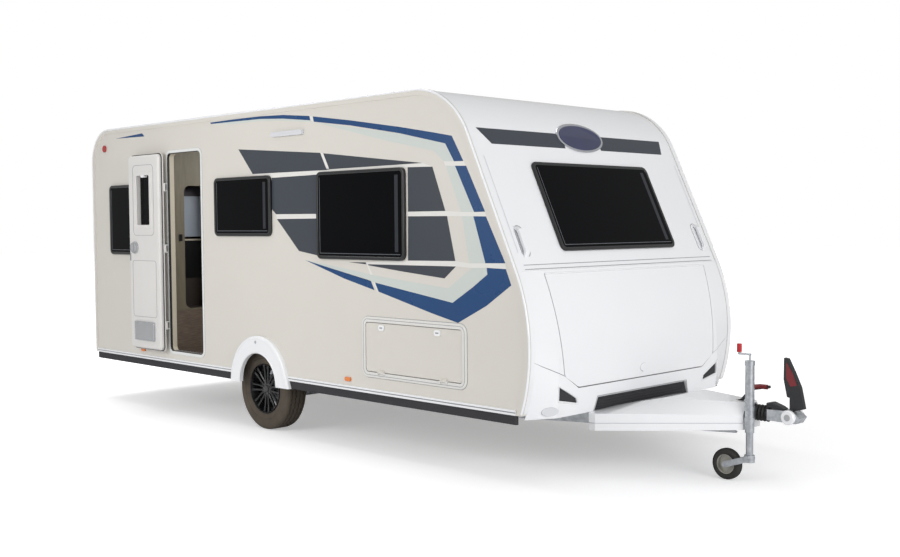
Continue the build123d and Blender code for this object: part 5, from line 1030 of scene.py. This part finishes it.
# Columns: height over the bench, inset
CUSHION_LEVELS = ((0.0, 0.02), (0.012, 0.004), (0.05, 0.0), (0.085, 0.002), (0.108, 0.014),
                  (0.1185, 0.05))
CUSHION_CORNER = 0.06
PIPING_RISE = 0.1
PIPING_INSET = 0.006
PIPING_CORNER = 0.058
PIPING_R = 0.004
soft = []
edges = []
for low, high in CUSHIONS:
    mid = ((low[0] + high[0]) / 2, (low[1] + high[1]) / 2)
    size = (high[0] - low[0], high[1] - low[1])
    verts = []
    for level, inset in CUSHION_LEVELS:
        outline = round_rect(*mid, size[0] - 2 * inset, size[1] - 2 * inset, CUSHION_CORNER)
        verts += [(u, v, BENCH_TOP + level) for u, v in outline]
    count = len(outline)
    faces = []
    for row in range(len(CUSHION_LEVELS) - 1):
        for i in range(count):
            here, there = row * count, (row + 1) * count
            j = (i + 1) % count
            faces.append([here + i, here + j, there + j, there + i])
    faces += [list(range(count)), list(range(len(verts) - count, len(verts)))]
    soft.append((verts, faces))
    piped = round_rect(*mid, size[0] - 2 * PIPING_INSET, size[1] - 2 * PIPING_INSET, PIPING_CORNER)
    edges.append([(u, v, BENCH_TOP + PIPING_RISE) for u, v in piped])
cushion_soft = piece("cushion_soft", *join(*soft), "upholstery", smooth=True, slot="upholstery")
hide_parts("cushions")
for number, points in enumerate(edges):
    tube(f"cushion_piping_{number}", points, PIPING_R, "piping", closed=True)

# Floor, world, lights and camera. The floor glows more with its distance, for the camera alone, so
# that the picture's ground ends in white
REACH = 60.0
GLOW_NEAR, GLOW_FAR = 3.0, 8.0
GLOW_LOW, GLOW_HIGH = 0.37, 1.0
floor_mesh = bpy.data.meshes.new("floor")
corners = [(-REACH, -REACH, 0), (REACH, -REACH, 0), (REACH, REACH, 0), (-REACH, REACH, 0)]
floor_mesh.from_pydata(corners, [], [[0, 1, 2, 3]])
floor = bpy.data.objects.new("floor", floor_mesh)
bpy.context.scene.collection.objects.link(floor)
floor.location = (0.7, -0.4, 0.0)
floor_look = bpy.data.materials.new("floor_pale")
floor_look.use_nodes = True
tree = floor_look.node_tree
shader = fill(tree.nodes["Principled BSDF"], Base_Color=(0.82, 0.82, 0.83, 1.0), Roughness=0.9,
              Specular_IOR_Level=0.1)
glow = node(tree, "Emission", Color=WHITE)
seen = node(tree, "Math")
seen.operation = "MULTIPLY"
distance = node(tree, "VectorMath")
distance.operation = "LENGTH"
rise = node(tree, "MapRange", From_Min=GLOW_NEAR, From_Max=GLOW_FAR, To_Min=GLOW_LOW,
            To_Max=GLOW_HIGH)
link(node(tree, "TexCoord"), "Object", distance, 0)
link(distance, "Value", rise, "Value")
link(rise, "Result", seen, 1)
link(node(tree, "LightPath"), "Is Camera Ray", seen, 0)
link(seen, 0, glow, "Strength")
both = node(tree, "AddShader")
link(shader, 0, both, 0)
link(glow, 0, both, 1)
link(both, 0, tree.nodes["Material Output"], "Surface")
floor_mesh.materials.append(floor_look)

# The world looks white to the camera and lights the caravan at half strength
world = bpy.data.worlds.new("studio")
bpy.context.scene.world = world
world.use_nodes = True
tree = world.node_tree
back = fill(tree.nodes["Background"], Color=WHITE)
path = node(tree, "LightPath")
level = node(tree, "MapRange", To_Min=0.5, To_Max=1.0)
flags = node(tree, "Math")
flags.operation = "MAXIMUM"
link(path, "Is Camera Ray", flags, 0)
link(path, "Is Transmission Ray", flags, 1)
link(flags, 0, level, "Value")
link(level, "Result", back, "Strength")


def lamp(name, place, target, size, power):
    """Area lamp that looks at a point."""
    data = bpy.data.lights.new(name, "AREA")
    data.shape = "RECTANGLE"
    data.size, data.size_y = size
    data.energy = power
    made = bpy.data.objects.new(name, data)
    made.location = place
    made.rotation_euler = (Vector(target) - Vector(place)).to_track_quat("-Z", "Y").to_euler()
    bpy.context.scene.collection.objects.link(made)


lamp("key", (11.5, -2.4, 3.4), (0.6, 0.0, 1.0), (6.0, 4.0), 520)
lamp("fill", (-0.6, -5.5, 2.7), (-0.6, 0.0, 1.35), (3.2, 2.4), 92)
lamp("overhead", (-5.0, 0.5, 9.0), (-0.8, 0.0, 1.5), (7.0, 6.0), 420)
lamp("cabin", (-1.0, 0.1, 2.3), (-2.2, -0.8, 1.0), (0.5, 0.5), 14)

# Camera solved from the photograph
FOCAL_PX = 1124.64
SENSOR = 36.0
WIDTH_PX = 900
EYE = (6.660, -6.318, 1.6315)
AZIMUTH = math.radians(45.232)
PITCH = math.radians(2.772)
ROLL = math.radians(-0.4295)
forward = Vector((-math.sin(AZIMUTH) * math.cos(PITCH), math.cos(AZIMUTH) * math.cos(PITCH),
                  -math.sin(PITCH)))
level_right = Vector((math.cos(AZIMUTH), math.sin(AZIMUTH), 0.0))
level_up = level_right.cross(forward)
right = level_right * math.cos(ROLL) + level_up * math.sin(ROLL)
top = -level_right * math.sin(ROLL) + level_up * math.cos(ROLL)
lens = bpy.data.cameras.new("camera")
lens.sensor_width = SENSOR
lens.sensor_fit = "HORIZONTAL"
lens.lens = FOCAL_PX * SENSOR / WIDTH_PX
lens.clip_end = 300.0
camera = bpy.data.objects.new("camera", lens)
turned = Matrix((right, top, -forward)).transposed().to_4x4()
camera.matrix_world = Matrix.Translation(EYE) @ turned
bpy.context.scene.collection.objects.link(camera)
bpy.context.scene.camera = camera
bpy.context.scene.view_settings.view_transform = "Standard"
